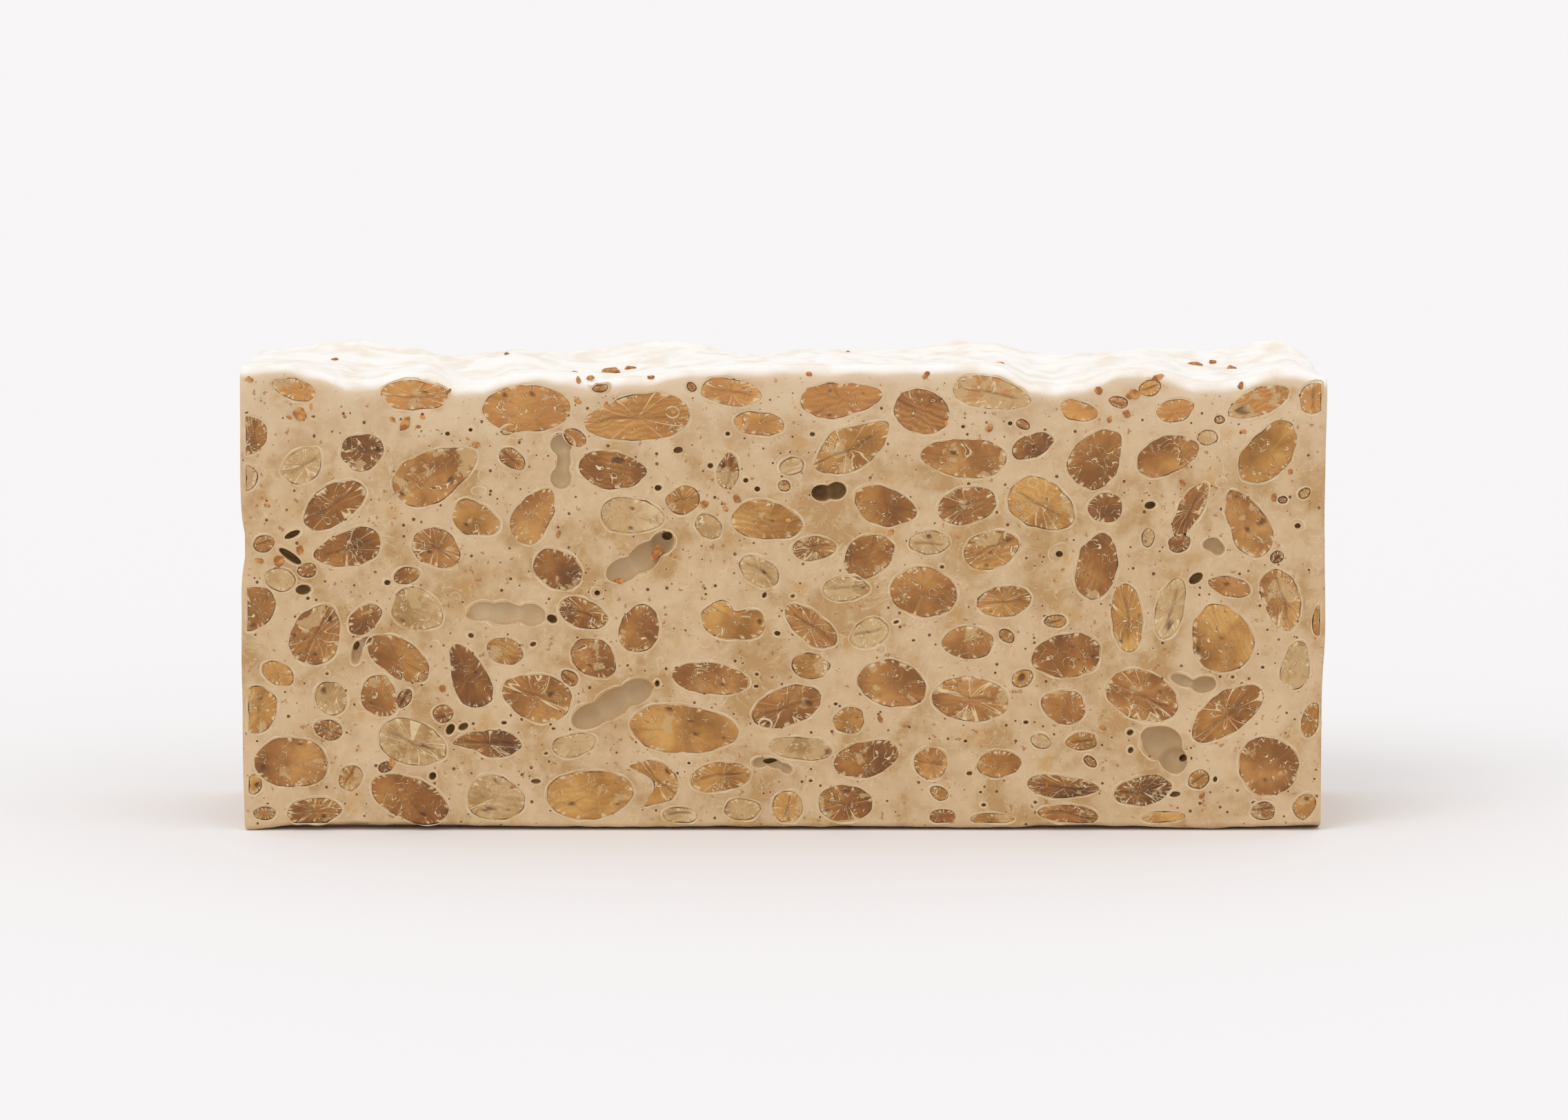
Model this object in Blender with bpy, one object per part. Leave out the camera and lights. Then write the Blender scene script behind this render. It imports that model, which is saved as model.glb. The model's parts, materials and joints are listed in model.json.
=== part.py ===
"""Nougat block: a bar sawn from a slab of nougat, with whole roasted kernels cut through in its front.

Metres, +Z up. The origin is the middle of the resting face, the sawn front looks along -Y, and
the uncut lumpy skin of the slab is on top. Each large kernel in the front is its own solid, held
in a seat of the nougat.
"""

import math

import bmesh
import bpy
from mathutils import Vector
from mathutils.geometry import interpolate_bezier

MM = 0.001

# Driving dimensions
LENGTH = 200 * MM
DEPTH = 50 * MM
HEIGHT = 85 * MM
EDGE = 1.5 * MM  # how far the worn edges reach in from each side
SKIN_LUMP = 1.1 * MM  # half the height of the lumps on the uncut top
SIDE_WAVE = 0.5 * MM  # how far the sawn ends wander from flat
GAP = 0.3 * MM  # between a kernel and its seat
MOUTH = 1.0 * MM  # how far a cutter reaches out past the front
KERNEL_SIDES = 14
KERNEL_DEPTH = 0.52  # of the kernel's width
POCKET_DEPTH = 0.42  # of the air pocket's width
WAIST = 0.76  # a kernel's middle ring, as a share of its cut outline,
WAIST_DEPTH = 0.64  # and how far down that ring lies, as a share of the kernel's depth
EDGE_PULL = 0.35  # how far a worn edge draws back, as a share of EDGE
BLOCK_CUTS = (40, 5, 6)  # how many lengths the block is divided into along X, Y and Z
FRONT = -DEPTH / 2

# The front top edge, as (x, z) in millimetres: the slab's skin dips and rises along it.
TOP_EDGE = (
    (-100, 86.0), (-92, 86.3), (-78, 83.0), (-66, 85.3), (-58, 82.2), (-45, 85.0), (-31, 83.5),
    (-8, 86.2), (36, 86.3), (50, 82.0), (66, 85.5), (81, 82.8), (92, 85.5), (100, 86.2),
)

# Cut kernels in millimetres and degrees: the centre's x and z, length, width, tilt, how much
# narrower its right-hand end is, and how roasted it is.
KERNELS = (
    (-77.3, 70.2, 8.2, 7.4, 0, 0.05, "dark"),
    (-82.3, 60.6, 12.7, 7.8, 33, 0.15, "brown"),
    (-64.0, 66.0, 17.2, 9.3, 30, 0.20, "tan"),
    (-79.8, 52.4, 13.4, 6.8, 15, -0.15, "brown"),
    (-63.6, 52.4, 9.6, 7.4, -30, 0.10, "tan"),
    (-56.5, 57.8, 9.2, 6.8, -20, 0.15, "golden"),
    (-46.9, 78.2, 16.8, 9.0, 3, 0.12, "golden"),
    (-27.2, 76.4, 20.2, 8.8, 5, -0.32, "golden"),
    (-31.4, 66.9, 12.4, 7.6, -10, 0.10, "brown"),
    (-45.8, 58.6, 11.4, 7.4, 60, 0.28, "tan"),
    (-27.8, 58.5, 12.8, 6.6, -5, 0.15, "pale"),
    (-41.5, 48.5, 9.8, 7.2, -35, 0.05, "dark"),
    (-3.2, 57.6, 13.0, 7.8, -8, 0.10, "golden"),
    (10.4, 79.9, 15.6, 6.6, 8, 0.18, "brown"),
    (25.3, 77.6, 11.2, 8.4, -20, 0.10, "dark"),
    (37.8, 81.0, 14.6, 6.4, -12, 0.12, "pale"),
    (88.9, 70.2, 13.4, 8.8, 50, 0.10, "golden"),
    (70.3, 69.6, 12.4, 7.2, 22, 0.18, "tan"),
    (57.2, 69.0, 12.6, 9.2, 50, 0.12, "tan"),
    (33.0, 69.2, 15.6, 7.8, -5, -0.10, "tan"),
    (12.5, 70.3, 16.4, 8.6, 38, -0.30, "golden"),
    (18.6, 60.2, 12.4, 7.2, -15, 0.12, "brown"),
    (33.7, 60.4, 11.6, 7.0, 10, 0.10, "tan"),
    (47.2, 60.6, 13.0, 9.4, -25, 0.10, "golden"),
    (38.2, 52.2, 10.8, 7.2, 20, 0.14, "golden"),
    (15.6, 51.0, 10.4, 7.6, 30, 0.10, "brown"),
    (85.0, 57.0, 13.8, 7.6, 115, 0.15, "tan"),
    (57.4, 49.3, 12.4, 8.2, 80, 0.15, "brown"),
    (25.6, 44.3, 12.8, 9.4, 0, -0.05, "tan"),
    (-86.0, 36.4, 12.4, 9.2, 60, 0.10, "tan"),
    (-70.6, 31.9, 12.6, 7.4, -35, 0.10, "brown"),
    (-57.9, 28.8, 13.0, 7.0, 115, 0.20, "dark"),
    (-45.4, 24.8, 13.8, 8.8, -12, -0.08, "tan"),
    (-90.6, 12.7, 14.4, 9.6, -8, 0.06, "tan"),
    (-68.4, 16.4, 13.0, 8.8, -20, 0.05, "pale"),
    (-68.8, 5.9, 15.6, 8.2, -20, 0.06, "brown"),
    (-53.6, 16.0, 13.2, 4.8, -5, -0.12, "dark"),
    (-35.8, 6.7, 16.4, 9.4, 0, 0.04, "golden"),
    (-22.9, 9.3, 10.2, 6.6, -55, 0.05, "golden"),
    (-36.8, 40.3, 9.8, 5.6, -15, 0.08, "brown"),
    (-26.5, 37.6, 9.6, 7.6, 60, 0.10, "brown"),
    (-34.8, 32.0, 9.0, 7.4, -40, 0.08, "tan"),
    (-18.5, 18.9, 20.0, 9.6, -3, 0.08, "golden"),
    (-13.4, 28.3, 15.2, 6.0, -5, 0.10, "tan"),
    (-9.2, 38.7, 13.8, 7.6, -12, 0.16, "golden"),
    (4.8, 38.0, 11.4, 6.0, -38, -0.10, "tan"),
    (20.0, 27.3, 13.2, 9.0, -8, 0.06, "tan"),
    (0.4, 23.0, 14.0, 7.2, 20, -0.12, "tan"),
    (15.2, 13.4, 12.6, 7.0, 10, 0.08, "brown"),
    (-11.6, 10.0, 11.4, 6.0, 8, 0.10, "golden"),
    (40.2, 42.6, 10.4, 6.2, 10, -0.14, "golden"),
    (52.0, 32.6, 13.6, 8.2, 5, -0.06, "brown"),
    (34.2, 24.4, 14.2, 8.8, -8, -0.05, "tan"),
    (51.6, 8.2, 13.2, 4.6, -3, 0.30, "dark"),
    (66.0, 25.0, 14.4, 9.2, -18, 0.08, "tan"),
    (80.4, 35.8, 13.6, 11.4, 105, 0.08, "golden"),
    (91.3, 43.0, 11.8, 7.4, 105, -0.05, "tan"),
    (81.4, 21.8, 15.4, 8.0, 38, -0.06, "brown"),
    (89.2, 12.0, 11.8, 11.0, 0, 0.05, "tan"),
)

# Open air pockets in the front: centre's x and z, length, width and tilt.
POCKETS = (
    (-31.6, 23.6, 15.4, 4.9, 28),
    (70.6, 14.9, 9.0, 7.8, -40),
    (75.7, 27.5, 7.4, 3.0, -10),
    (-26.2, 50.6, 12.6, 5.4, 33),
    (-40.6, 69.4, 8.4, 3.6, 78),
    (-50.6, 40.6, 14.0, 5.2, -4),
    (7.9, 62.6, 5.4, 2.8, 12),
    (-2.0, 12.6, 6.4, 2.0, -12),
    (79.0, 53.0, 4.2, 3.2, 30),
)

# What each finish looks like: colour as linear RGB, and roughness.
FINISHES = {
    "nougat": ((0.57, 0.40, 0.22), 0.62),
    "dark": ((0.19, 0.08, 0.03), 0.48),
    "brown": ((0.26, 0.12, 0.05), 0.48),
    "tan": ((0.36, 0.18, 0.07), 0.50),
    "golden": ((0.46, 0.25, 0.10), 0.50),
    "pale": ((0.52, 0.34, 0.18), 0.55),
}


def clear_scene():
    for obj in list(bpy.data.objects):
        bpy.data.objects.remove(obj, do_unlink=True)


def finish_material(name):
    """A Principled material of the named finish."""
    colour, roughness = FINISHES[name]
    material = bpy.data.materials.new(name)
    material.use_nodes = True
    shader = material.node_tree.nodes["Principled BSDF"]
    shader.inputs["Base Color"].default_value = (*colour, 1)
    shader.inputs["Roughness"].default_value = roughness
    shader.inputs["Metallic"].default_value = 0
    return material


def add_object(name, mesh_data, material):
    """Links a bmesh into the scene as a smooth-shaded object, and frees it."""
    mesh = bpy.data.meshes.new(name)
    mesh_data.to_mesh(mesh)
    mesh_data.free()
    mesh.shade_smooth()
    mesh.set_sharp_from_angle(angle=math.radians(35))
    mesh.materials.append(material)
    obj = bpy.data.objects.new(name, mesh)
    bpy.context.scene.collection.objects.link(obj)
    return obj


def top_edge_curve():
    """The front top edge in metres, eased through its points so that it is level at each one."""
    curve = []
    for (x0, z0), (x1, z1) in zip(TOP_EDGE, TOP_EDGE[1:]):
        reach = (x1 - x0) / 2
        handles = [(x0, z0), (x0 + reach, z0), (x1 - reach, z1), (x1, z1)]
        curve += [point * MM for point in interpolate_bezier(*map(Vector, handles), 9)]
    return curve


def top_height(x, y, curve):
    """The height of the top skin: the front edge's line, fading into gentle lumps further back."""
    edge = next((b.y for a, b in zip(curve, curve[1:]) if a.x <= x <= b.x), curve[-1].y)
    back = (y - FRONT) / DEPTH
    lumps = math.sin(x / (9.1 * MM) + 1.3) * math.cos(y / (8.3 * MM)) + 0.6 * math.sin(x / (4.7 * MM))
    return edge + back * (HEIGHT + SKIN_LUMP * lumps - edge)


def side_wave(along, up):
    """How far a sawn end stands out from flat, up to SIDE_WAVE each way."""
    return SIDE_WAVE * (0.6 * math.sin(up / (8.5 * MM)) + 0.4 * math.sin(up / (3.9 * MM) + along / (9 * MM)))


def cuts(low, high, count):
    """Where the block is divided along one axis: evenly, and once close to each worn edge."""
    step = (high - low) / count
    return [low + EDGE, *(low + step * i for i in range(1, count)), high - EDGE]


def block_mesh():
    """The block's outside: a flat front and resting face, wavy ends and back, and a lumpy top."""
    low = Vector((-LENGTH / 2, FRONT, 0))
    high = Vector((LENGTH / 2, -FRONT, HEIGHT))
    bm = bmesh.new()
    bmesh.ops.create_cube(bm, size=1)
    for vert in bm.verts:
        vert.co = Vector((high[i] if vert.co[i] > 0 else low[i]) for i in range(3))
    for axis, count in enumerate(BLOCK_CUTS):
        for place in cuts(low[axis], high[axis], count):
            point, normal = Vector(), Vector()
            point[axis], normal[axis] = place, 1
            bmesh.ops.bisect_plane(bm, geom=bm.verts[:] + bm.edges[:] + bm.faces[:], plane_co=point,
                                   plane_no=normal)
    curve = top_edge_curve()
    for vert in bm.verts:
        ideal = vert.co.copy()
        sides = [(ideal[i] > high[i] - 1e-6) - (ideal[i] < low[i] + 1e-6) for i in range(3)]
        vert.co.z *= top_height(ideal.x, ideal.y, curve) / HEIGHT
        if abs(ideal.z - EDGE) < 1e-6:
            vert.co.z = EDGE
        vert.co.x -= sides[0] * (SIDE_WAVE - side_wave(ideal.y, ideal.z))
        if sides[1] > 0:
            vert.co.y -= SIDE_WAVE - side_wave(ideal.x, ideal.x)
        if sum(map(abs, sides)) > 1:
            vert.co -= Vector(sides) * EDGE * EDGE_PULL
    flat = [face for face in bm.faces if all(abs(v.co.y - FRONT) < 1e-7 for v in face.verts)]
    bmesh.ops.dissolve_faces(bm, faces=flat)
    flat = [face for face in bm.faces if all(abs(v.co.z) < 1e-7 for v in face.verts)]
    bmesh.ops.dissolve_faces(bm, faces=flat)
    bmesh.ops.recalc_face_normals(bm, faces=bm.faces)
    return bm


def section_ring(length, width, tilt, taper, seed, grow, shrink):
    """One ring of an irregular oval, as offsets (x, z) from its centre, scaled by shrink."""
    ring = []
    turn = math.radians(tilt)
    for i in range(KERNEL_SIDES):
        a = math.tau * i / KERNEL_SIDES
        uneven = 1 + 0.035 * math.sin(2 * a + seed) + 0.03 * math.sin(3 * a + 2.3 * seed)
        along = (length / 2 * uneven + grow) * math.cos(a) * shrink
        across = (width / 2 * uneven + grow) * math.sin(a) * (1 - taper * math.cos(a)) * shrink
        ring.append((along * math.cos(turn) - across * math.sin(turn),
                     along * math.sin(turn) + across * math.cos(turn)))
    return ring


def add_bowl(bm, place, size, shape, depth, grow, mouth=0):
    """Adds a closed bowl of oval section sunk into the front, reaching out past it by mouth."""
    (x, z), (length, width), (tilt, taper, seed) = place, size, shape
    steps = [(1, 0), (WAIST, WAIST_DEPTH * depth)]
    if mouth:
        steps.insert(0, (1, -mouth))
    rings = []
    for shrink, sink in steps:
        ring = section_ring(length, width, tilt, taper, seed, grow, shrink)
        rings.append([bm.verts.new((x + dx, FRONT + sink, z + dz)) for dx, dz in ring])
    bm.faces.new(rings[0])
    for outer, inner in zip(rings, rings[1:]):
        for i in range(KERNEL_SIDES):
            j = (i + 1) % KERNEL_SIDES
            bm.faces.new((outer[i], inner[i], inner[j], outer[j]))
    tip = bm.verts.new((x, FRONT + depth, z))
    for i in range(KERNEL_SIDES):
        bm.faces.new((rings[-1][i], tip, rings[-1][(i + 1) % KERNEL_SIDES]))


def kernel_parts(number, grow):
    """The numbered kernel's place, size, shape and depth in metres, with grow added all round."""
    x, z, length, width, tilt, taper, _ = KERNELS[number]
    depth = width * KERNEL_DEPTH * MM + grow
    return (x * MM, z * MM), (length * MM, width * MM), (tilt, taper, number * 1.7), depth, grow


def make_kernels():
    for number, kernel in enumerate(KERNELS):
        bm = bmesh.new()
        add_bowl(bm, *kernel_parts(number, 0), mouth=0)
        bmesh.ops.recalc_face_normals(bm, faces=bm.faces)
        add_object(f"kernel_{number + 1:02}", bm, bpy.data.materials[kernel[-1]])


def make_cutter():
    """The seats of all the kernels and the open air pockets, as one guide to cut with."""
    bm = bmesh.new()
    for number in range(len(KERNELS)):
        add_bowl(bm, *kernel_parts(number, GAP), mouth=MOUTH)
    for number, (x, z, length, width, tilt) in enumerate(POCKETS):
        add_bowl(bm, (x * MM, z * MM), (length * MM, width * MM), (tilt, 0, number + 0.4),
                 width * POCKET_DEPTH * MM, 0, mouth=MOUTH)
    bmesh.ops.recalc_face_normals(bm, faces=bm.faces)
    cutter = add_object("seat_cutter", bm, bpy.data.materials["nougat"])
    cutter.hide_render = True
    cutter.display_type = "WIRE"
    return cutter


def make_nougat(cutter):
    nougat = add_object("nougat", block_mesh(), bpy.data.materials["nougat"])
    seats = nougat.modifiers.new("seats", "BOOLEAN")
    seats.operation = "DIFFERENCE"
    seats.solver = "EXACT"
    seats.object = cutter


def main():
    clear_scene()
    for name in FINISHES:
        finish_material(name)
    make_kernels()
    make_nougat(make_cutter())


main()
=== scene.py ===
"""The finished looks of a nougat bar: its body, its cut roasted kernels and a plain studio stage.

Laid out as a Blender add-on: every piece has an operator, and the panel in the sidebar lists them.
"""

import json
import math
import random

import bpy
import numpy as np
from mathutils import Matrix, Vector, noise
from mathutils.bvhtree import BVHTree


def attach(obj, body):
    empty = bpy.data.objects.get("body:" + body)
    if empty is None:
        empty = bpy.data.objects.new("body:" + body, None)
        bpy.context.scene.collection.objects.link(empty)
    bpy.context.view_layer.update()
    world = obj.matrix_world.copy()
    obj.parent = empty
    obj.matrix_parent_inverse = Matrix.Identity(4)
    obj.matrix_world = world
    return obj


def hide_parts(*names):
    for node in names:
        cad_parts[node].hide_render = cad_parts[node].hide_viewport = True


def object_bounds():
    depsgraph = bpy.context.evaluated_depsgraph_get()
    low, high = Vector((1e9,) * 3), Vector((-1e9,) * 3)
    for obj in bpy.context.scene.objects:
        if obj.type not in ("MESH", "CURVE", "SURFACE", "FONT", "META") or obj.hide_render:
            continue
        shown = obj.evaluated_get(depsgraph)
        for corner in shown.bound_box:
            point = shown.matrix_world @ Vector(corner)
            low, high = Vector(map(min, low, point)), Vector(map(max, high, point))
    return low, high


bl_info = {
    "name": "Nougat Bar",
    "version": (1, 0, 0),
    "blender": (4, 5, 0),
    "location": "View3D > Sidebar > Nougat",
    "description": "Models a sawn bar of nougat with cut roasted kernels",
    "category": "Add Mesh",
}

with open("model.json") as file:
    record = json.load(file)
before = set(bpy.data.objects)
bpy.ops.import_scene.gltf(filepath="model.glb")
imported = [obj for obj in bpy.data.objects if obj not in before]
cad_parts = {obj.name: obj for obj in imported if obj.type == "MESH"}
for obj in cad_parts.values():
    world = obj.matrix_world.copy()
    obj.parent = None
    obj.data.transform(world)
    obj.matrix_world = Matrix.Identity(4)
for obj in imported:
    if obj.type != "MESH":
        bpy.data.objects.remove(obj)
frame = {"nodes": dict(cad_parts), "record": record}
LOW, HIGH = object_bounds()
MM = 0.001
BODY = "root"
KERNEL_DEPTH = 1.5 * MM  # how far the large kernels reach in, and below, the small ones
PIECE_DEPTH = 1.0 * MM
FINE_VOXEL = 0.34 * MM  # of the melted air pockets
FRONT_Y = min(vert.co.y for vert in frame["nodes"]["nougat"].data.vertices)
TONES = ("dark", "brown", "tan", "golden", "pale")
SLOTS = {entry["node"]: entry["material_slot"] for entry in frame["record"]["subparts"]}

# Colours as sRGB hex. The skin and top band colours hold painted light from above; the pore, pinhole and kernel pit
# colours are painted shade in holes.
COLOURS = {
    "nougat": "C7A87F", "nougat_light": "D1B48D", "nougat_deep": "B48D5C", "smudge": "C08F4C",
    "skin": "FCF8F3", "skin_dip": "EFE2CF", "edge_band": "DEC7A8", "bubble": "BFA37C",
    "pore": "65451F", "pinhole": "70451D", "lip": "D9C19B", "husk": "52321A", "crystal": "E4CA9E",
    "film": "C3A272", "toast": "CC8C4C", "pit": "4F2F16", "crumb": "9C5F2A", "crumb_light": "CB8E4C",
    "floor": "F6F4F5", "backdrop": "F8F6F7",
}
# Cut kernels by roast: the flesh, its shaded patches and its bright ones.
FLESH = {
    "dark": ("83511F", "5E3813", "9F6A2E"),
    "brown": ("945E26", "714416", "B27D3C"),
    "tan": ("A06A31", "80501E", "BF8A4A"),
    "golden": ("B17C3B", "8E5E24", "CC9A54"),
    "pale": ("BF9A68", "A27A48", "D3B58A"),
}

# The cut outlines of kernels that aren't ovals, in millimetres, clockwise: x, z.
REFINED = {
    "kernel_21": (
        (5.4, 67.9), (6.4, 70.2), (7.2, 72.3), (9.3, 74.4), (13.2, 75.4), (18.6, 75.9), (19.2, 74.2),
        (18.3, 71.1), (15.4, 67.9), (11.4, 66.1), (8.2, 65.9), (5.9, 66.6)),
    "kernel_37": (
        (-61.0, 16.3), (-59.2, 18.0), (-55.5, 18.8), (-51.4, 18.6), (-48.9, 17.2), (-48.1, 15.6),
        (-49.7, 14.1), (-52.0, 13.5), (-54.8, 13.6), (-56.8, 14.7), (-59.2, 15.6)),
    "kernel_39": (
        (-28.6, 12.1), (-26.6, 13.0), (-24.6, 13.4), (-22.6, 12.9), (-21.1, 12.0), (-20.0, 10.8),
        (-19.3, 9.5), (-19.1, 8.4), (-19.3, 7.4), (-19.9, 6.4), (-20.9, 5.6), (-22.4, 5.1), (-25.8, 4.5),
        (-24.6, 6.4), (-24.0, 8.0), (-24.6, 9.7), (-26.6, 11.0)),
    "kernel_45": (
        (-15.4, 39.3), (-14.6, 41.5), (-12.3, 43.0), (-10.2, 42.7), (-9.0, 40.9), (-6.6, 41.3),
        (-4.2, 40.9), (-3.2, 38.8), (-4.0, 36.7), (-6.6, 35.5), (-10.6, 35.4), (-13.8, 36.8)),
}

# Small kernels and pieces in the front, in millimetres and degrees: x, z, length, width, tilt,
# roast, and how much nougat film covers the cut.
SMALL = (
    (-89.6, 81.8, 8.6, 4.2, -15, "golden", 0.5), (-98.0, 73.3, 8.0, 7.0, 80, "dark", 0.2),
    (-88.1, 67.8, 8.4, 6.4, 40, "pale", 0.4), (-98.6, 65.4, 5.2, 4.6, 80, "pale", 0.5),
    (-69.3, 47.4, 5.2, 3.6, 15, "tan", 0.2), (-95.4, 53.3, 4.4, 3.4, 20, "golden", 0.2),
    (-87.5, 48.4, 4.0, 3.0, 10, "brown", 0.2), (-92.6, 46.7, 6.4, 4.6, -10, "pale", 0.6),
    (-67.4, 41.0, 9.8, 8.0, -30, "pale", 0.6), (-67.8, 80.7, 12.6, 6.0, -3, "golden", 0.4),
    (-38.2, 72.9, 5.0, 3.2, -35, "tan", 0.2), (-49.8, 69.0, 6.0, 3.6, -35, "tan", 0.2),
    (-18.6, 61.3, 6.6, 5.6, 10, "golden", 0.5), (-13.9, 56.5, 6.0, 4.4, -35, "pale", 0.5),
    (-9.4, 81.2, 11.4, 5.6, -8, "golden", 0.3), (-16.9, 82.2, 2.3, 1.8, -50, "tan", 0.0),
    (-4.7, 75.4, 10.0, 4.6, -5, "golden", 0.4), (54.0, 77.8, 7.4, 4.2, -10, "golden", 0.3),
    (61.2, 79.4, 4.0, 2.4, -15, "brown", 0.0), (67.0, 82.0, 4.6, 3.4, 20, "golden", 0.4),
    (71.6, 77.9, 7.4, 4.4, 10, "golden", 0.2), (86.6, 79.4, 12.2, 5.4, 22, "golden", 0.5),
    (97.0, 80.2, 6.4, 6.0, 60, "golden", 0.4), (45.8, 71.4, 8.4, 4.6, 20, "dark", 0.1),
    (58.9, 59.9, 6.6, 6.0, 0, "dark", 0.2), (26.8, 53.6, 7.6, 4.8, 0, "pale", 0.5),
    (5.6, 52.4, 8.6, 5.0, 5, "tan", 0.3), (1.4, 67.6, 5.0, 3.6, 15, "pale", 0.4),
    (0.0, 64.0, 2.7, 2.4, 0, "golden", 0.2), (-10.2, 66.6, 7.2, 4.6, 80, "brown", 0.5),
    (-4.6, 48.2, 8.4, 5.4, -30, "pale", 0.4), (74.4, 59.6, 11.6, 4.8, 60, "tan", 0.1),
    (72.6, 53.4, 4.4, 3.6, 20, "tan", 0.1), (66.8, 54.4, 4.0, 2.8, 80, "pale", 0.3),
    (90.5, 50.8, 3.0, 2.4, 40, "brown", 0.1), (79.8, 76.2, 2.2, 1.8, 0, "brown", 0.0),
    (77.6, 72.9, 4.0, 3.2, 10, "pale", 0.3), (91.4, 61.4, 2.0, 1.6, 0, "brown", 0.0),
    (43.8, 75.2, 3.0, 1.9, -30, "tan", 0.2), (-97.4, 41.2, 9.0, 7.6, 60, "tan", 0.1),
    (-77.0, 39.3, 7.4, 5.0, 40, "dark", 0.2), (-74.2, 25.0, 8.6, 7.0, -60, "tan", 0.4),
    (-69.9, 24.6, 4.2, 2.6, 60, "brown", 0.0), (-93.0, 29.2, 6.4, 4.4, -30, "golden", 0.3),
    (-97.2, 22.6, 9.6, 8.4, 60, "golden", 0.4), (-83.2, 24.6, 6.8, 6.4, 90, "pale", 0.5),
    (-83.9, 18.8, 5.8, 4.2, -15, "brown", 0.0), (-86.4, 3.6, 10.6, 5.4, 4, "brown", 0.2),
    (-79.8, 9.8, 5.2, 4.6, 60, "golden", 0.5), (-95.6, 3.2, 4.4, 2.8, 5, "brown", 0.5),
    (-62.6, 21.8, 4.0, 3.6, 10, "tan", 0.3), (-73.4, 11.8, 3.0, 2.2, 20, "dark", 0.1),
    (-51.4, 33.4, 7.2, 5.2, -15, "tan", 0.4), (-53.0, 6.0, 11.4, 8.8, -10, "pale", 0.5),
    (-39.4, 28.4, 3.8, 2.8, -30, "tan", 0.1), (-19.2, 2.9, 6.6, 3.4, 0, "pale", 0.5),
    (4.9, 30.6, 7.4, 5.2, -10, "golden", 0.4), (11.9, 20.6, 6.4, 5.4, 10, "golden", 0.1),
    (3.0, 15.2, 12.4, 4.6, -5, "pale", 0.7), (-7.6, 4.0, 7.0, 4.6, 0, "pale", 0.5),
    (0.6, 4.4, 6.4, 6.2, 90, "golden", 0.6), (11.4, 5.0, 10.6, 7.0, -4, "brown", 0.4),
    (11.3, 45.0, 9.0, 5.0, 0, "pale", 0.6), (33.6, 35.0, 10.2, 6.4, 0, "tan", 0.5),
    (40.9, 36.2, 3.5, 2.5, -40, "tan", 0.2), (43.9, 28.4, 4.4, 3.6, 20, "golden", 0.5),
    (51.4, 23.0, 9.0, 6.6, -10, "tan", 0.4), (27.0, 12.6, 6.8, 6.4, 0, "tan", 0.1),
    (39.6, 12.5, 8.6, 5.4, 5, "brown", 0.0), (54.6, 16.6, 6.0, 3.8, 5, "golden", 0.1),
    (56.4, 12.9, 3.0, 2.0, -40, "tan", 0.1), (47.4, 16.6, 4.2, 2.8, -20, "pale", 0.5),
    (52.4, 3.0, 12.2, 3.8, -5, "brown", 0.2), (29.2, 2.6, 5.4, 3.0, 0, "brown", 0.1),
    (38.4, 2.2, 8.6, 2.2, 0, "golden", 0.5), (28.6, 7.0, 4.0, 2.8, -30, "golden", 0.2),
    (63.0, 39.4, 13.4, 6.2, 95, "golden", 0.4), (71.0, 41.4, 12.2, 5.4, 75, "pale", 0.6),
    (81.6, 45.4, 8.0, 4.0, -10, "tan", 0.2), (98.2, 39.2, 6.2, 2.6, 85, "golden", 0.2),
    (94.0, 30.6, 9.6, 5.6, 80, "pale", 0.6), (65.9, 7.4, 10.8, 6.0, 10, "dark", 0.2),
    (96.9, 20.6, 7.2, 3.6, 75, "golden", 0.3), (96.0, 4.6, 5.6, 4.4, 55, "golden", 0.3),
    (88.2, 3.6, 4.8, 3.6, 10, "tan", 0.5), (76.4, 9.6, 4.4, 3.8, 40, "golden", 0.5),
    (70.0, 2.6, 9.0, 2.4, 2, "golden", 0.6), (49.8, 38.9, 4.4, 2.8, 0, "tan", 0.4),
    (-97.6, 8.6, 4.0, 3.2, 80, "golden", 0.5), (-38.4, 16.0, 8.6, 4.6, 10, "pale", 0.8),
    (15.6, 36.6, 8.0, 5.6, 20, "pale", 0.9), (-50.4, 74.2, 3.0, 1.8, 20, "golden", 0.4),
    (95.4, 62.6, 2.6, 2.0, 40, "golden", 0.3), (-33.6, 82.0, 3.2, 1.8, 10, "tan", 0.2),
)

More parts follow.
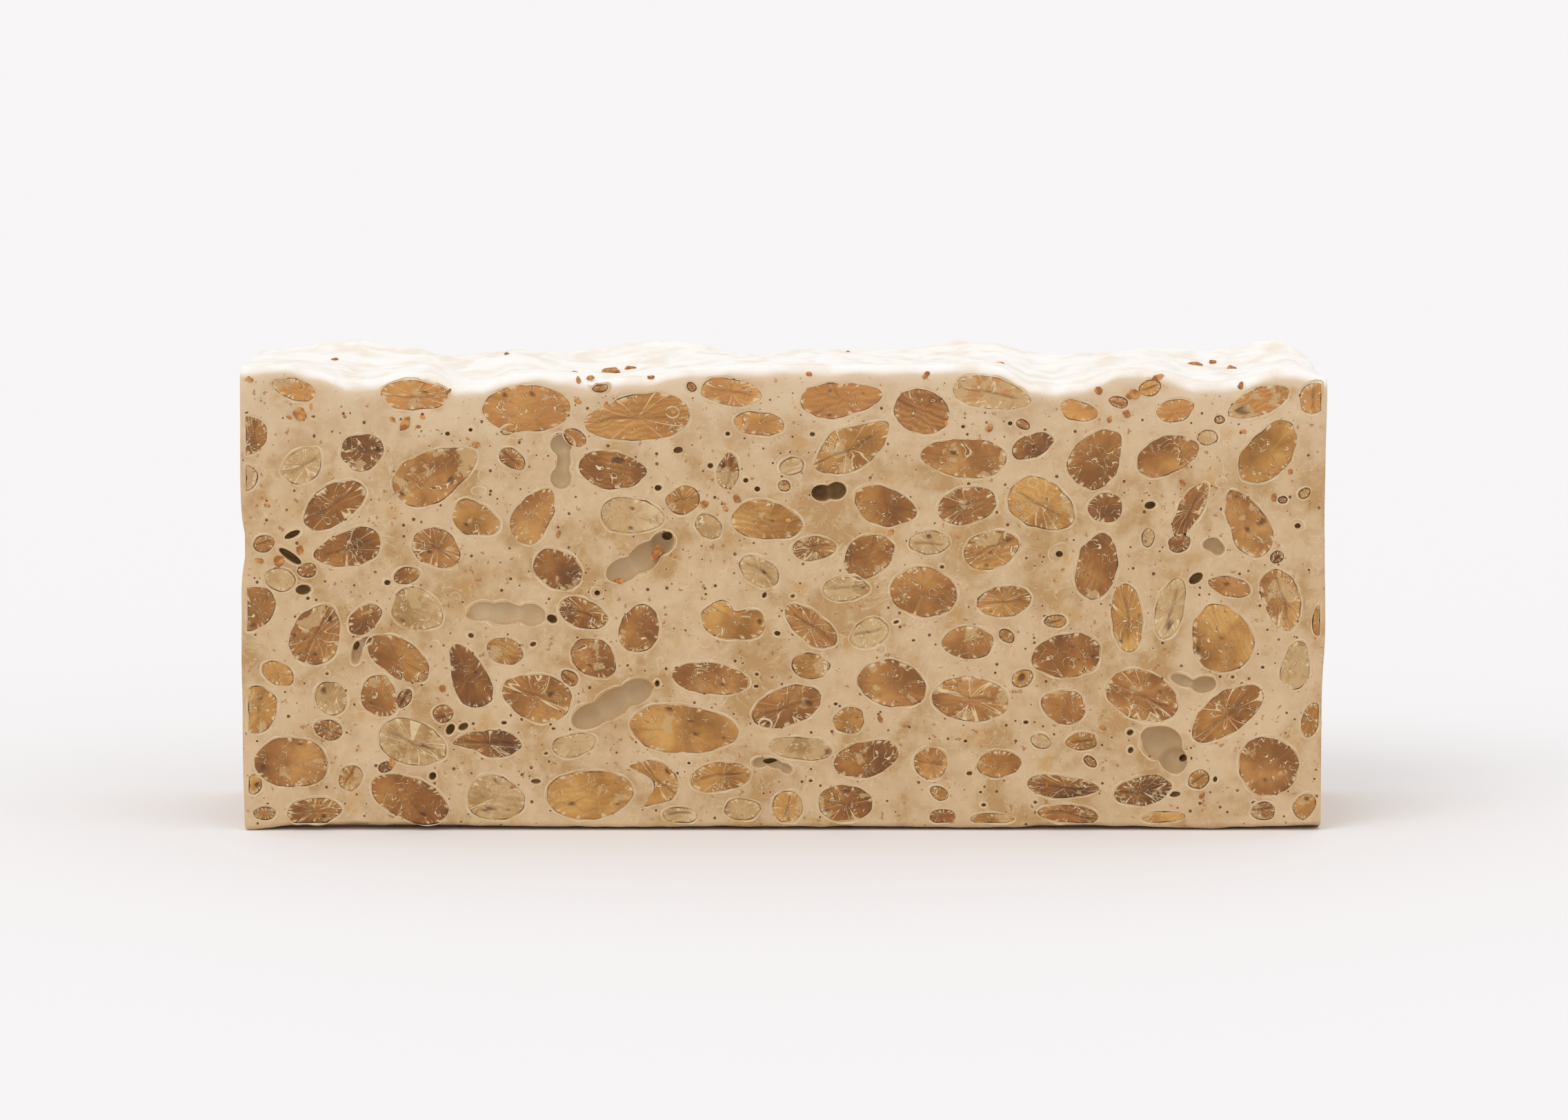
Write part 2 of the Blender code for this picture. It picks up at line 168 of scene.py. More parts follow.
# Open air pockets in the front, as overlapping bubbles: x, z, length, width, tilt, depth.
POCKETS = (
    (-35.6, 21.4, 7.6, 4.6, 22, 2.4), (-31.4, 23.7, 8.4, 5.2, 34, 2.7), (-27.4, 25.8, 6.8, 4.8, 24, 2.4),
    (69.6, 16.4, 7.6, 6.4, -10, 2.9), (71.6, 13.4, 6.0, 5.0, -55, 3.2), (67.6, 17.6, 4.0, 3.6, 0, 2.0),
    (73.2, 28.0, 4.6, 2.2, -20, 1.4), (77.2, 27.2, 4.8, 3.2, 8, 2.0),
    (-29.6, 48.4, 6.6, 4.6, 20, 1.9), (-25.6, 50.8, 7.2, 5.0, 40, 2.3), (-22.4, 53.4, 5.0, 4.0, 40, 2.6),
    (-40.8, 71.6, 4.0, 4.2, 90, 1.6), (-40.4, 68.4, 4.8, 2.6, 80, 1.4), (-40.9, 65.4, 4.2, 4.0, 100, 1.5),
    (-55.4, 40.8, 5.6, 3.6, 10, 0.9), (-51.4, 40.4, 7.0, 4.4, 0, 1.3), (-46.4, 40.2, 5.4, 4.2, -8, 1.1),
    (-4.4, 12.7, 3.0, 2.0, 10, 1.3), (-1.8, 12.6, 3.2, 1.8, -20, 1.3), (0.4, 11.6, 2.6, 1.9, -30, 1.2),
    (78.4, 53.3, 3.4, 2.4, 20, 1.6), (79.6, 52.4, 2.6, 2.6, 60, 1.7),
    (-78.5, 33.2, 4.4, 2.0, 78, 1.4), (-76.9, 35.3, 2.6, 1.4, 40, 1.0),
    (-57.4, 39.7, 2.6, 0.9, -20, 0.9), (86.9, 19.9, 0.9, 0.8, 0, 0.6),
)
# Deep hollows in the front, their walls dark with painted shade, the same way.
HOLLOWS = (
    (6.9, 62.7, 4.0, 3.1, 0, 2.4), (9.6, 63.1, 3.8, 3.3, 10, 2.4), (-21.6, 54.4, 2.6, 2.2, 30, 3.2),
    (73.4, 13.2, 2.2, 1.5, 50, 3.6), (-2.6, 12.9, 3.4, 1.1, 4, 2.0), (-42.6, 39.4, 2.2, 1.6, -30, 1.8),
    (-90.6, 51.0, 5.2, 1.5, -35, 2.2), (-78.6, 34.2, 2.4, 1.2, 70, 2.0),
)
# Pores in the front, their walls dark with painted shade: x, z, length, width, tilt.
PORES = (
    (-88.3, 44.8, 2.9, 1.9, 5), (-90.2, 55.0, 3.2, 1.2, 25), (-64.7, 10.2, 1.5, 1.3, 60),
    (-61.4, 18.9, 2.2, 1.5, 60), (-59.0, 19.4, 2.0, 1.3, 25), (-72.8, 46.1, 1.2, 1.0, 0),
    (-61.6, 73.6, 0.9, 0.8, 0), (-57.4, 74.3, 0.8, 0.7, 0), (-23.1, 63.6, 1.3, 1.1, 0),
    (-19.4, 70.6, 1.8, 1.2, 10), (-13.5, 67.7, 1.1, 1.0, 0), (-7.0, 65.0, 1.0, 0.9, 0),
    (-4.9, 63.4, 1.1, 1.0, 0), (5.2, 73.5, 1.0, 0.8, 0), (-10.3, 73.6, 0.9, 0.8, 0),
    (67.1, 60.4, 2.1, 1.4, 10), (75.6, 46.9, 3.0, 1.8, 35), (32.8, 74.9, 0.8, 0.7, 0),
    (41.4, 75.5, 0.9, 0.8, 0), (-1.2, 36.7, 1.2, 0.9, -10), (-5.0, 29.1, 0.7, 0.6, 0),
    (-5.1, 26.9, 0.9, 0.6, 0), (9.5, 23.6, 0.8, 0.6, 0), (44.5, 20.2, 1.0, 0.7, 0),
    (34.2, 10.7, 1.0, 0.8, 0), (33.4, 16.7, 0.7, 0.6, 0), (63.7, 18.3, 1.3, 1.0, 30),
    (63.8, 15.0, 1.2, 1.0, 60), (72.0, 6.8, 2.2, 1.1, 5), (79.4, 9.6, 1.1, 0.8, 80),
    (86.5, 5.2, 0.8, 0.6, 0), (-45.7, 9.2, 1.9, 0.9, 0), (-51.5, 20.1, 1.1, 0.7, 0),
    (-42.4, 19.0, 0.8, 0.5, 0), (-43.8, 14.4, 0.8, 0.5, 10), (-46.1, 34.7, 1.2, 0.8, 20),
    (-57.5, 36.3, 1.1, 0.9, -20), (-23.3, 27.4, 0.9, 1.2, 0), (82.5, 28.6, 0.7, 0.6, 0),
    (84.2, 27.4, 0.7, 0.5, 0), (88.0, 30.4, 0.7, 0.6, 0), (-87.4, 43.2, 0.7, 0.6, 0),
    (-84.0, 29.2, 0.6, 0.5, 0), (4.9, 9.3, 0.7, 0.6, 0), (-17.5, 12.6, 0.6, 0.5, 0),
    (50.5, 51.4, 1.4, 1.2, 0), (94.2, 56.6, 1.2, 1.0, 0), (-34.3, 44.2, 1.1, 1.0, 0),
    (29.0, 49.0, 0.8, 0.6, 0), (1.6, 43.6, 0.8, 0.6, 20), (-3.6, 43.8, 1.2, 0.8, 60),
    (36.8, 4.8, 0.9, 0.6, 0), (36.2, 7.2, 0.6, 0.5, 0), (46.3, 5.3, 0.7, 0.5, 0),
    (20.6, 38.8, 1.1, 0.6, 20), (23.8, 35.4, 0.7, 0.5, 0), (60.8, 45.2, 0.7, 0.5, 0),
)
# Air pockets in the other sawn faces: x, z, length, width, tilt, depth.
SIDE_POCKETS = {
    "back": (
        (-58.0, 52.0, 8.0, 5.0, 20, 2.6), (-53.6, 54.0, 6.6, 4.6, 30, 2.8), (22.0, 30.0, 9.0, 5.2, -20, 2.6),
        (74.0, 60.0, 5.4, 3.6, 60, 2.2), (75.6, 56.6, 4.2, 3.4, 80, 2.4), (-80.0, 18.0, 6.6, 5.4, 10, 2.8),
        (-12.0, 70.0, 6.0, 2.6, -10, 1.8), (48.0, 12.0, 5.0, 2.4, 20, 1.6),
    ),
    "left": ((6.0, 56.0, 6.6, 3.8, 30, 2.4), (-12.0, 26.0, 5.0, 2.6, -20, 1.8)),
    "right": ((-8.0, 64.0, 5.2, 3.0, -30, 2.0), (10.0, 20.0, 7.0, 4.4, 15, 2.6)),
}
# Bubbles that show only as a pale ring: x, z, length, width, tilt.
BUBBLES = (
    (-54.0, 65.9, 3.4, 2.9, 0), (-56.0, 63.0, 2.0, 1.1, 0), (-34.3, 44.2, 1.9, 1.8, 0), (-4.9, 69.7, 3.2, 3.2, 0),
    (50.5, 51.4, 3.6, 3.6, 0), (94.2, 56.6, 2.2, 2.0, 0), (-14.6, 35.4, 2.2, 2.2, 0), (-20.4, 77.6, 2.0, 1.6, 0),
    (17.7, 33.6, 1.6, 1.2, 20), (-60.4, 43.4, 1.6, 1.4, 0), (62.6, 22.0, 1.6, 1.6, 0), (-3.4, 19.8, 1.8, 1.4, 0),
    (45.6, 64.6, 1.5, 1.4, 0), (24.6, 38.4, 1.4, 1.2, 0), (-64.2, 34.6, 1.3, 1.2, 0), (80.2, 64.6, 1.7, 1.4, 0),
)
# Crumbs of kernel on the front: x, z, size.
CRUMBS = (
    (-88.6, 77.4, 2.6), (-90.6, 76.6, 1.0), (-86.6, 78.6, 0.9), (-69.4, 75.4, 2.8), (-71.6, 76.2, 1.2),
    (-67.0, 74.9, 1.0), (-66.2, 76.6, 0.8), (-23.4, 51.6, 3.0), (-30.2, 46.4, 1.6), (-37.8, 79.6, 1.4),
    (-92.8, 50.0, 2.4), (-88.8, 52.2, 1.8), (-96.2, 50.2, 1.6), (-14.6, 60.6, 1.6), (-8.6, 61.6, 1.4),
    (-10.8, 59.8, 1.0), (62.8, 77.2, 1.6), (57.6, 81.6, 1.6), (59.6, 76.2, 1.1), (92.8, 66.6, 1.0),
    (73.0, 64.6, 1.4), (89.8, 61.8, 1.3), (37.6, 74.6, 1.4), (17.7, 20.8, 1.2), (77.0, 6.6, 1.4),
    (-37.6, 83.4, 1.2), (-35.4, 83.9, 1.4), (-32.6, 78.9, 1.0), (-97.8, 83.6, 1.2), (-24.4, 84.0, 1.0),
    (4.6, 84.6, 1.0), (26.0, 84.4, 1.4), (68.4, 84.0, 1.6), (83.6, 82.4, 1.2), (-61.4, 81.4, 1.0),
    (63.9, 80.9, 2.4), (-13.0, 12.2, 1.2), (-72.2, 12.6, 1.4), (-62.8, 26.4, 1.4), (-50.0, 8.2, 1.0), (58.6, 19.2, 1.0),
    (48.4, 8.6, 1.0), (14.0, 62.0, 1.0), (0.8, 57.6, 1.0), (-56.4, 71.6, 1.2), (-94.8, 60.4, 1.0),
    (-41.4, 55.0, 1.2), (19.6, 55.4, 1.0), (43.6, 43.4, 1.2), (84.2, 74.0, 1.2), (29.6, 75.6, 1.0),
)
# Crumbs in the uncut skin: x, y, size.
SKIN_CRUMBS = (
    (-32.0, -8.0, 3.6), (-38.6, -16.0, 1.8), (-28.6, -3.0, 1.8), (76.7, 4.0, 2.8), (83.3, -2.0, 3.6),
    (80.4, 10.0, 1.6), (-52.0, 12.0, 1.4), (12.0, 8.0, 1.2), (-84.0, 6.0, 1.6), (40.0, -10.0, 1.2),
)


def linear(colour):
    """A colour of COLOURS, or an sRGB hex value, as linear RGBA."""
    value = bytes.fromhex(COLOURS.get(colour, colour))
    return (*(c / 3294.6 if c <= 10 else ((c / 255 + 0.055) / 1.055) ** 2.4 for c in value), 1.0)


def smooth(low, high, value):
    """An even step from 0 at low to 1 at high."""
    t = np.clip((value - low) / (high - low), 0, 1)
    return t * t * (3 - 2 * t)


class NougatSettings(bpy.types.PropertyGroup):
    """Sizes and colours of the bar."""

    lump: bpy.props.FloatProperty(
        name="Skin lumps", description="Height of the fine lumps on the uncut top",
        default=0.7 * MM, unit="LENGTH")
    round_off: bpy.props.FloatProperty(
        name="Worn edges", description="Radius of the bar's worn edges", default=1.1 * MM, unit="LENGTH")
    relief: bpy.props.FloatProperty(
        name="Cut relief", description="How rough the kernels' cut faces are", default=1.0, min=0)
    matrix: bpy.props.FloatVectorProperty(
        name="Nougat", description="Colour of the sawn nougat", subtype="COLOR", size=4,
        default=linear("nougat"))
    # The top's colour is its powdery skin with painted light from above in it.
    skin: bpy.props.FloatVectorProperty(
        name="Skin", description="Colour of the uncut top", subtype="COLOR", size=4,
        default=linear("skin"))


# Faces of the bar: a name, the middle of its lower edge, and which way is right, up and out.
FACES = {
    "front": (Vector((0, LOW.y, 0)), Vector((1, 0, 0)), Vector((0, 0, 1)), Vector((0, -1, 0))),
    "back": (Vector((0, HIGH.y, 0)), Vector((-1, 0, 0)), Vector((0, 0, 1)), Vector((0, 1, 0))),
    "left": (Vector((LOW.x, 0, 0)), Vector((0, -1, 0)), Vector((0, 0, 1)), Vector((-1, 0, 0))),
    "right": (Vector((HIGH.x, 0, 0)), Vector((0, 1, 0)), Vector((0, 0, 1)), Vector((1, 0, 0))),
}


# ---------------------------------------------------------------------------------------------
# Surfaces


def cad_tree():
    """The CAD bar's faces, ready for rays."""
    mesh = frame["nodes"]["nougat"].data
    return BVHTree.FromPolygons([v.co for v in mesh.vertices], [tuple(f.vertices) for f in mesh.polygons])


def cad_top(tree, x, y):
    """The height of the CAD bar's top above a point, read just inside its worn edges."""
    margin = 1.8 * MM
    x = min(max(x, LOW.x + margin), HIGH.x - margin)
    y = min(max(y, LOW.y + margin), HIGH.y - margin)
    hit = tree.ray_cast(Vector((x, y, 1)), Vector((0, 0, -1)))[0]
    return hit.z


def sawn_bow(face, across, up):
    """How far a sawn face lies inside the CAD box at a place on it, in metres: always 0 or more."""
    seed = {"front": 0.0, "back": 3.1, "left": 7.7, "right": 11.3}[face]
    broad = noise.noise(Vector((across / (34 * MM), up / (30 * MM), seed)))
    fine = noise.noise(Vector((across / (7 * MM), up / (7 * MM), seed + 20)))
    if face == "front":
        return (0.10 + 0.10 * broad + 0.03 * fine) * MM
    dip = (0.5 + 0.40 * broad + 0.10 * fine) * MM
    if face == "left":
        dip += 0.9 * MM * math.exp(-(((up - 53 * MM) / (4 * MM)) ** 2))
    if face == "right":
        dip += 0.8 * MM * float(smooth(0.042, 0.018, up))
    return dip


def on_face(face, across, up, out):
    """A point across, up and out from a face's lower middle, in the frame."""
    origin, right, upward, outward = FACES[face]
    return origin + right * across + upward * up + outward * out


# ---------------------------------------------------------------------------------------------
# Materials


def add(tree, kind, inputs=None, **settings):
    """Adds a node with its settings, and feeds its inputs from values or from other sockets."""
    node = tree.nodes.new(kind)
    for key, value in settings.items():
        setattr(node, key, value)
    for key, value in (inputs or {}).items():
        if isinstance(value, bpy.types.NodeSocket):
            tree.links.new(value, node.inputs[key])
        else:
            node.inputs[key].default_value = value
    return node


def new_material(name):
    """A new material's node tree and its Principled shader."""
    material = bpy.data.materials.new(name)
    material.use_nodes = True
    shader = material.node_tree.nodes["Principled BSDF"]
    shader.inputs["IOR"].default_value = 1.45
    return material, material.node_tree, shader


def make_nougat_material(name):
    """Sawn nougat: boiled sugar and honey whipped with egg white, waxy and full of fine pores.

    The uncut top has a paler, powdery skin, made whiter still by painted light from above, mixed in by the bar's skin
    attribute.
    """
    settings = bpy.context.scene.nougat
    material, tree, shader = new_material(name)
    mm = add(tree, "ShaderNodeMapping", {
        "Vector": add(tree, "ShaderNodeTexCoord").outputs["Object"], "Scale": (1000, 1000, 1000)})
    place = mm.outputs["Vector"]
    # Cloudy streaks 12 mm wide, and a faint grain of 2 mm.
    cloud = add(tree, "ShaderNodeTexNoise", {"Vector": place, "Scale": 0.085, "Detail": 3.0, "Distortion": 0.6})
    grain = add(tree, "ShaderNodeTexNoise", {"Vector": place, "Scale": 0.5, "Detail": 2.0})
    tint = add(tree, "ShaderNodeMath", {
        0: grain.outputs["Fac"], 1: 0.35, 2: cloud.outputs["Fac"]}, operation="MULTIPLY_ADD")
    shade = add(tree, "ShaderNodeValToRGB", {"Fac": tint.outputs[0]})
    shade.color_ramp.elements[0].position = 0.52
    shade.color_ramp.elements[0].color = linear("nougat_deep")
    shade.color_ramp.elements[1].position = 0.86
    shade.color_ramp.elements[1].color = linear("nougat_light")
    shade.color_ramp.elements.new(0.68).color = settings.matrix
    # Paler toward the top: painted light from above on the upper part of the sawn faces.
    high = add(tree, "ShaderNodeMapRange", {
        "Value": add(tree, "ShaderNodeSeparateXYZ", {0: place}).outputs["Z"], 1: 66.0, 2: 86.0, 3: 0.0, 4: 0.6})
    paled = add(tree, "ShaderNodeMix", {
        0: high.outputs[0], 6: shade.outputs["Color"], 7: linear("edge_band")}, data_type="RGBA")
    # Faint orange smudges of nut oil.
    oil = add(tree, "ShaderNodeTexNoise", {"Vector": place, "Scale": 0.21, "Detail": 3.0})
    oily = add(tree, "ShaderNodeMapRange", {"Value": oil.outputs["Fac"], 1: 0.60, 2: 0.74, 3: 0.0, 4: 0.6})
    sawn = add(tree, "ShaderNodeMix", {
        0: oily.outputs[0], 6: paled.outputs[2], 7: linear("smudge")}, data_type="RGBA")
    # Pinholes about 2 mm apart, from invisible to 0.7 mm wide, each with a faint pale lip; their dark colour is painted
    # shade in the holes.
    cells = add(tree, "ShaderNodeTexVoronoi", {"Vector": place, "Scale": 0.56, "Randomness": 1.0})
    size = add(tree, "ShaderNodeMapRange", {
        "Value": add(tree, "ShaderNodeSeparateXYZ", {0: cells.outputs["Color"]}).outputs["X"],
        1: 0.15, 2: 1.0, 3: 0.05, 4: 0.21})
    beyond = add(tree, "ShaderNodeMath", {
        0: cells.outputs["Distance"], 1: size.outputs[0]}, operation="SUBTRACT")
    lip = add(tree, "ShaderNodeMapRange", {"Value": beyond.outputs[0], 1: 0.08, 2: 0.0, 3: 0.0, 4: 0.5})
    hole = add(tree, "ShaderNodeMapRange", {"Value": beyond.outputs[0], 1: 0.0, 2: -0.035, 3: 0.0, 4: 1.0})
    lipped = add(tree, "ShaderNodeMix", {
        0: lip.outputs[0], 6: sawn.outputs[2], 7: linear("nougat_light")}, data_type="RGBA")
    pored = add(tree, "ShaderNodeMix", {
        0: hole.outputs[0], 6: lipped.outputs[2], 7: linear("pinhole")}, data_type="RGBA")
    # Pale swirls 0.3 mm wide where the sugar was pulled.
    pull = add(tree, "ShaderNodeTexNoise", {"Vector": place, "Scale": 0.16, "Detail": 3.0, "Distortion": 1.8})
    pulled = add(tree, "ShaderNodeMath", {0: pull.outputs["Fac"], 1: 0.5}, operation="SUBTRACT")
    pulled = add(tree, "ShaderNodeMath", {0: pulled.outputs[0]}, operation="ABSOLUTE")
    pulls = add(tree, "ShaderNodeMapRange", {"Value": pulled.outputs[0], 1: 0.012, 2: 0.003, 3: 0.0, 4: 0.45})
    swirled = add(tree, "ShaderNodeMix", {
        0: pulls.outputs[0], 6: pored.outputs[2], 7: linear("lip")}, data_type="RGBA")
    # Dust of toasted kernel.
    dust = add(tree, "ShaderNodeTexNoise", {"Vector": place, "Scale": 0.9, "Detail": 3.0})
    dusty = add(tree, "ShaderNodeMapRange", {"Value": dust.outputs["Fac"], 1: 0.665, 2: 0.70, 3: 0.0, 4: 0.7})
    dusted = add(tree, "ShaderNodeMix", {
        0: dusty.outputs[0], 6: swirled.outputs[2], 7: linear("crumb")}, data_type="RGBA")
    # The uncut skin: powdery, made whiter by painted light from above, and beige in scattered noise patches.
    skin = add(tree, "ShaderNodeAttribute", attribute_name="skin")
    dips = add(tree, "ShaderNodeTexNoise", {"Vector": place, "Scale": 0.16, "Detail": 5.0})
    dipped = add(tree, "ShaderNodeMapRange", {"Value": dips.outputs["Fac"], 1: 0.46, 2: 0.64, 3: 0.0, 4: 0.7})
    skinned = add(tree, "ShaderNodeMix", {
        0: dipped.outputs[0], 6: settings.skin, 7: linear("skin_dip")}, data_type="RGBA")
    # A band of painted light along the top of the sawn faces, just below the skin.
    band = add(tree, "ShaderNodeMapRange", {"Value": skin.outputs["Fac"], 1: 0.02, 2: 0.35, 3: 0.0, 4: 1.0})
    banded = add(tree, "ShaderNodeMix", {
        0: band.outputs[0], 6: dusted.outputs[2], 7: linear("edge_band")}, data_type="RGBA")
    cover = add(tree, "ShaderNodeMapRange", {"Value": skin.outputs["Fac"], 1: 0.35, 2: 0.8, 3: 0.0, 4: 1.0})
    colour = add(tree, "ShaderNodeMix", {
        0: cover.outputs[0], 6: banded.outputs[2], 7: skinned.outputs[2]}, data_type="RGBA")
    tree.links.new(colour.outputs[2], shader.inputs["Base Color"])
    rough = add(tree, "ShaderNodeMapRange", {"Value": grain.outputs["Fac"], 1: 0.3, 2: 0.7, 3: 0.52, 4: 0.7})
    tree.links.new(rough.outputs[0], shader.inputs["Roughness"])
    fine = add(tree, "ShaderNodeTexNoise", {"Vector": place, "Scale": 1.9, "Detail": 4.0})
    height = add(tree, "ShaderNodeMath", {0: fine.outputs["Fac"], 1: hole.outputs[0]}, operation="SUBTRACT")
    bump = add(tree, "ShaderNodeBump", {"Height": height.outputs[0], "Strength": 0.3, "Distance": 0.1 * MM})
    tree.links.new(bump.outputs["Normal"], shader.inputs["Normal"])
    return material


def make_wall_material(name, colour, roughness):
    """The smooth wall of an air bubble in boiled sugar, a little uneven in colour; for pores and hollows the wall
    colour is dark painted shade.
    """
    material, tree, shader = new_material(name)
    place = add(tree, "ShaderNodeTexCoord").outputs["Object"]
    cloud = add(tree, "ShaderNodeTexNoise", {"Vector": place, "Scale": 320.0, "Detail": 3.0})
    tint = add(tree, "ShaderNodeMapRange", {"Value": cloud.outputs["Fac"], 1: 0.35, 2: 0.65, 3: 0.0, 4: 0.45})
    mixed = add(tree, "ShaderNodeMix", {
        0: tint.outputs[0], 6: linear(colour), 7: linear("nougat_deep")}, data_type="RGBA")
    tree.links.new(mixed.outputs[2], shader.inputs["Base Color"])
    shader.inputs["Roughness"].default_value = roughness
    return material


def make_crumb_material(name):
    """Crumbs of toasted kernel, orange-brown and oily."""
    material, tree, shader = new_material(name)
    place = add(tree, "ShaderNodeTexCoord").outputs["Object"]
    cloud = add(tree, "ShaderNodeTexNoise", {"Vector": place, "Scale": 900.0, "Detail": 4.0})
    tint = add(tree, "ShaderNodeMapRange", {"Value": cloud.outputs["Fac"], 1: 0.42, 2: 0.6, 3: 0.0, 4: 1.0})
    mixed = add(tree, "ShaderNodeMix", {
        0: tint.outputs[0], 6: linear("crumb"), 7: linear("crumb_light")}, data_type="RGBA")
    tree.links.new(mixed.outputs[2], shader.inputs["Base Color"])
    shader.inputs["Roughness"].default_value = 0.5
    return material


def make_kernel_material(roast):
    """The cut flesh of a roasted kernel: dry and close-grained, with a thin dark husk at its rim."""
    flesh, shaded, bright = FLESH[roast]
    material, tree, shader = new_material(f"roasted kernel {roast}")
    edge = add(tree, "ShaderNodeAttribute", attribute_name="edge").outputs["Fac"]
    grain = add(tree, "ShaderNodeAttribute", attribute_name="grain").outputs["Vector"]
    spoke = add(tree, "ShaderNodeAttribute", attribute_name="spoke").outputs["Vector"]
    look = add(tree, "ShaderNodeSeparateXYZ", {
        0: add(tree, "ShaderNodeAttribute", attribute_name="look").outputs["Vector"]})
    pit = add(tree, "ShaderNodeAttribute", attribute_name="pit").outputs["Fac"]
    # The roast drifts across the kernel, with blotches about 4 mm wide.
    drift = add(tree, "ShaderNodeTexNoise", {"Vector": grain, "Scale": 0.10, "Detail": 1.0})
    cloud = add(tree, "ShaderNodeTexNoise", {"Vector": grain, "Scale": 0.30, "Detail": 4.0, "Roughness": 0.5})
    mixed = add(tree, "ShaderNodeMath", {
        0: cloud.outputs["Fac"], 1: 0.55, 2: drift.outputs["Fac"]}, operation="MULTIPLY_ADD")
    base = add(tree, "ShaderNodeValToRGB", {"Fac": mixed.outputs[0]})
    base.color_ramp.elements[0].position = 0.58
    base.color_ramp.elements[0].color = linear(shaded)
    base.color_ramp.elements[1].position = 0.98
    base.color_ramp.elements[1].color = linear(bright)
    base.color_ramp.elements.new(0.78).color = linear(flesh)
    # Kernels high on the front are lighter and more orange: painted light from above.
    top_light_share = add(tree, "ShaderNodeMath", {
        0: add(tree, "ShaderNodeAttribute", attribute_name="lit_from_above").outputs["Fac"], 1: 0.6}, operation="MULTIPLY")
    top_lit_flesh = add(tree, "ShaderNodeMix", {
        0: top_light_share.outputs[0], 6: base.outputs["Color"], 7: linear("toast")}, data_type="RGBA")
    # Fibres that run out from the middle to the rim.
    fibre = add(tree, "ShaderNodeTexNoise", {"Vector": spoke, "Scale": 1.0, "Detail": 4.0, "Roughness": 0.6})
    dark_fibre = add(tree, "ShaderNodeMapRange", {"Value": fibre.outputs["Fac"], 1: 0.54, 2: 0.66, 3: 0.0, 4: 0.45})
    fibred = add(tree, "ShaderNodeMix", {
        0: dark_fibre.outputs[0], 6: top_lit_flesh.outputs[2], 7: linear(shaded)}, data_type="RGBA")
    pale_fibre = add(tree, "ShaderNodeMapRange", {"Value": fibre.outputs["Fac"], 1: 0.42, 2: 0.32, 3: 0.0, 4: 0.4})
    rayed = add(tree, "ShaderNodeMix", {
        0: pale_fibre.outputs[0], 6: fibred.outputs[2], 7: linear(bright)}, data_type="RGBA")
    # Layers across some kernels, about 1.1 mm apart.
    layers = add(tree, "ShaderNodeTexWave", {
        "Vector": grain, "Scale": 0.29, "Distortion": 9.0, "Detail": 3.0, "Detail Scale": 1.2},
        bands_direction="Y")
    layered = add(tree, "ShaderNodeMath", {0: layers.outputs["Fac"], 1: look.outputs["Z"]}, operation="MULTIPLY")
    striped = add(tree, "ShaderNodeMix", {
        0: layered.outputs[0], 6: rayed.outputs[2], 7: linear(shaded)}, data_type="RGBA")
    # Film of nougat smeared over the cut by the saw, with a crisp ragged edge.
    smear = add(tree, "ShaderNodeTexNoise", {"Vector": grain, "Scale": 0.21, "Detail": 6.0, "Roughness": 0.6})
    reach = add(tree, "ShaderNodeMath", {0: smear.outputs["Fac"], 1: look.outputs["X"]})
    film = add(tree, "ShaderNodeMapRange", {"Value": reach.outputs[0], 1: 0.93, 2: 0.955, 3: 0.0, 4: 0.72})
    filmed = add(tree, "ShaderNodeMix", {
        0: film.outputs[0], 6: striped.outputs[2], 7: linear("film")}, data_type="RGBA")
    # Curling cracks 0.25 mm wide: a pale sugared line, with a brown line of painted shade along its side.
    curl = add(tree, "ShaderNodeTexNoise", {"Vector": grain, "Scale": 0.27, "Detail": 2.5, "Distortion": 1.6})
    few = add(tree, "ShaderNodeTexNoise", {"Vector": grain, "Scale": 0.33, "Detail": 2.0, "W": 4.0},
              noise_dimensions="4D")
    some = add(tree, "ShaderNodeMapRange", {"Value": few.outputs["Fac"], 1: 0.42, 2: 0.52, 3: 0.0, 4: 0.9})
    cracked = filmed
    for level, tone in ((0.507, shaded), (0.49, "crystal")):
        apart = add(tree, "ShaderNodeMath", {0: curl.outputs["Fac"], 1: level}, operation="SUBTRACT")
        near = add(tree, "ShaderNodeMath", {0: apart.outputs[0]}, operation="ABSOLUTE")
        line = add(tree, "ShaderNodeMapRange", {"Value": near.outputs[0], 1: 0.012, 2: 0.005, 3: 0.0, 4: 1.0})
        raised = add(tree, "ShaderNodeMath", {0: line.outputs[0], 1: some.outputs[0]}, operation="MULTIPLY")
        cracked = add(tree, "ShaderNodeMix", {
            0: raised.outputs[0], 6: cracked.outputs[2], 7: linear(tone)}, data_type="RGBA")
    # Splits that run from the middle out to the rim, sugared white.
    ray = add(tree, "ShaderNodeTexNoise", {"Vector": spoke, "Scale": 0.62, "Detail": 1.0})
    off = add(tree, "ShaderNodeMath", {0: ray.outputs["Fac"], 1: 0.5}, operation="SUBTRACT")
    off = add(tree, "ShaderNodeMath", {0: off.outputs[0]}, operation="ABSOLUTE")
    thin = add(tree, "ShaderNodeMapRange", {"Value": off.outputs[0], 1: 0.010, 2: 0.004, 3: 0.0, 4: 0.75})
    rays = add(tree, "ShaderNodeMath", {0: thin.outputs[0], 1: look.outputs["Y"]}, operation="MULTIPLY")
    split = add(tree, "ShaderNodeMix", {
        0: rays.outputs[0], 6: cracked.outputs[2], 7: linear("crystal")}, data_type="RGBA")
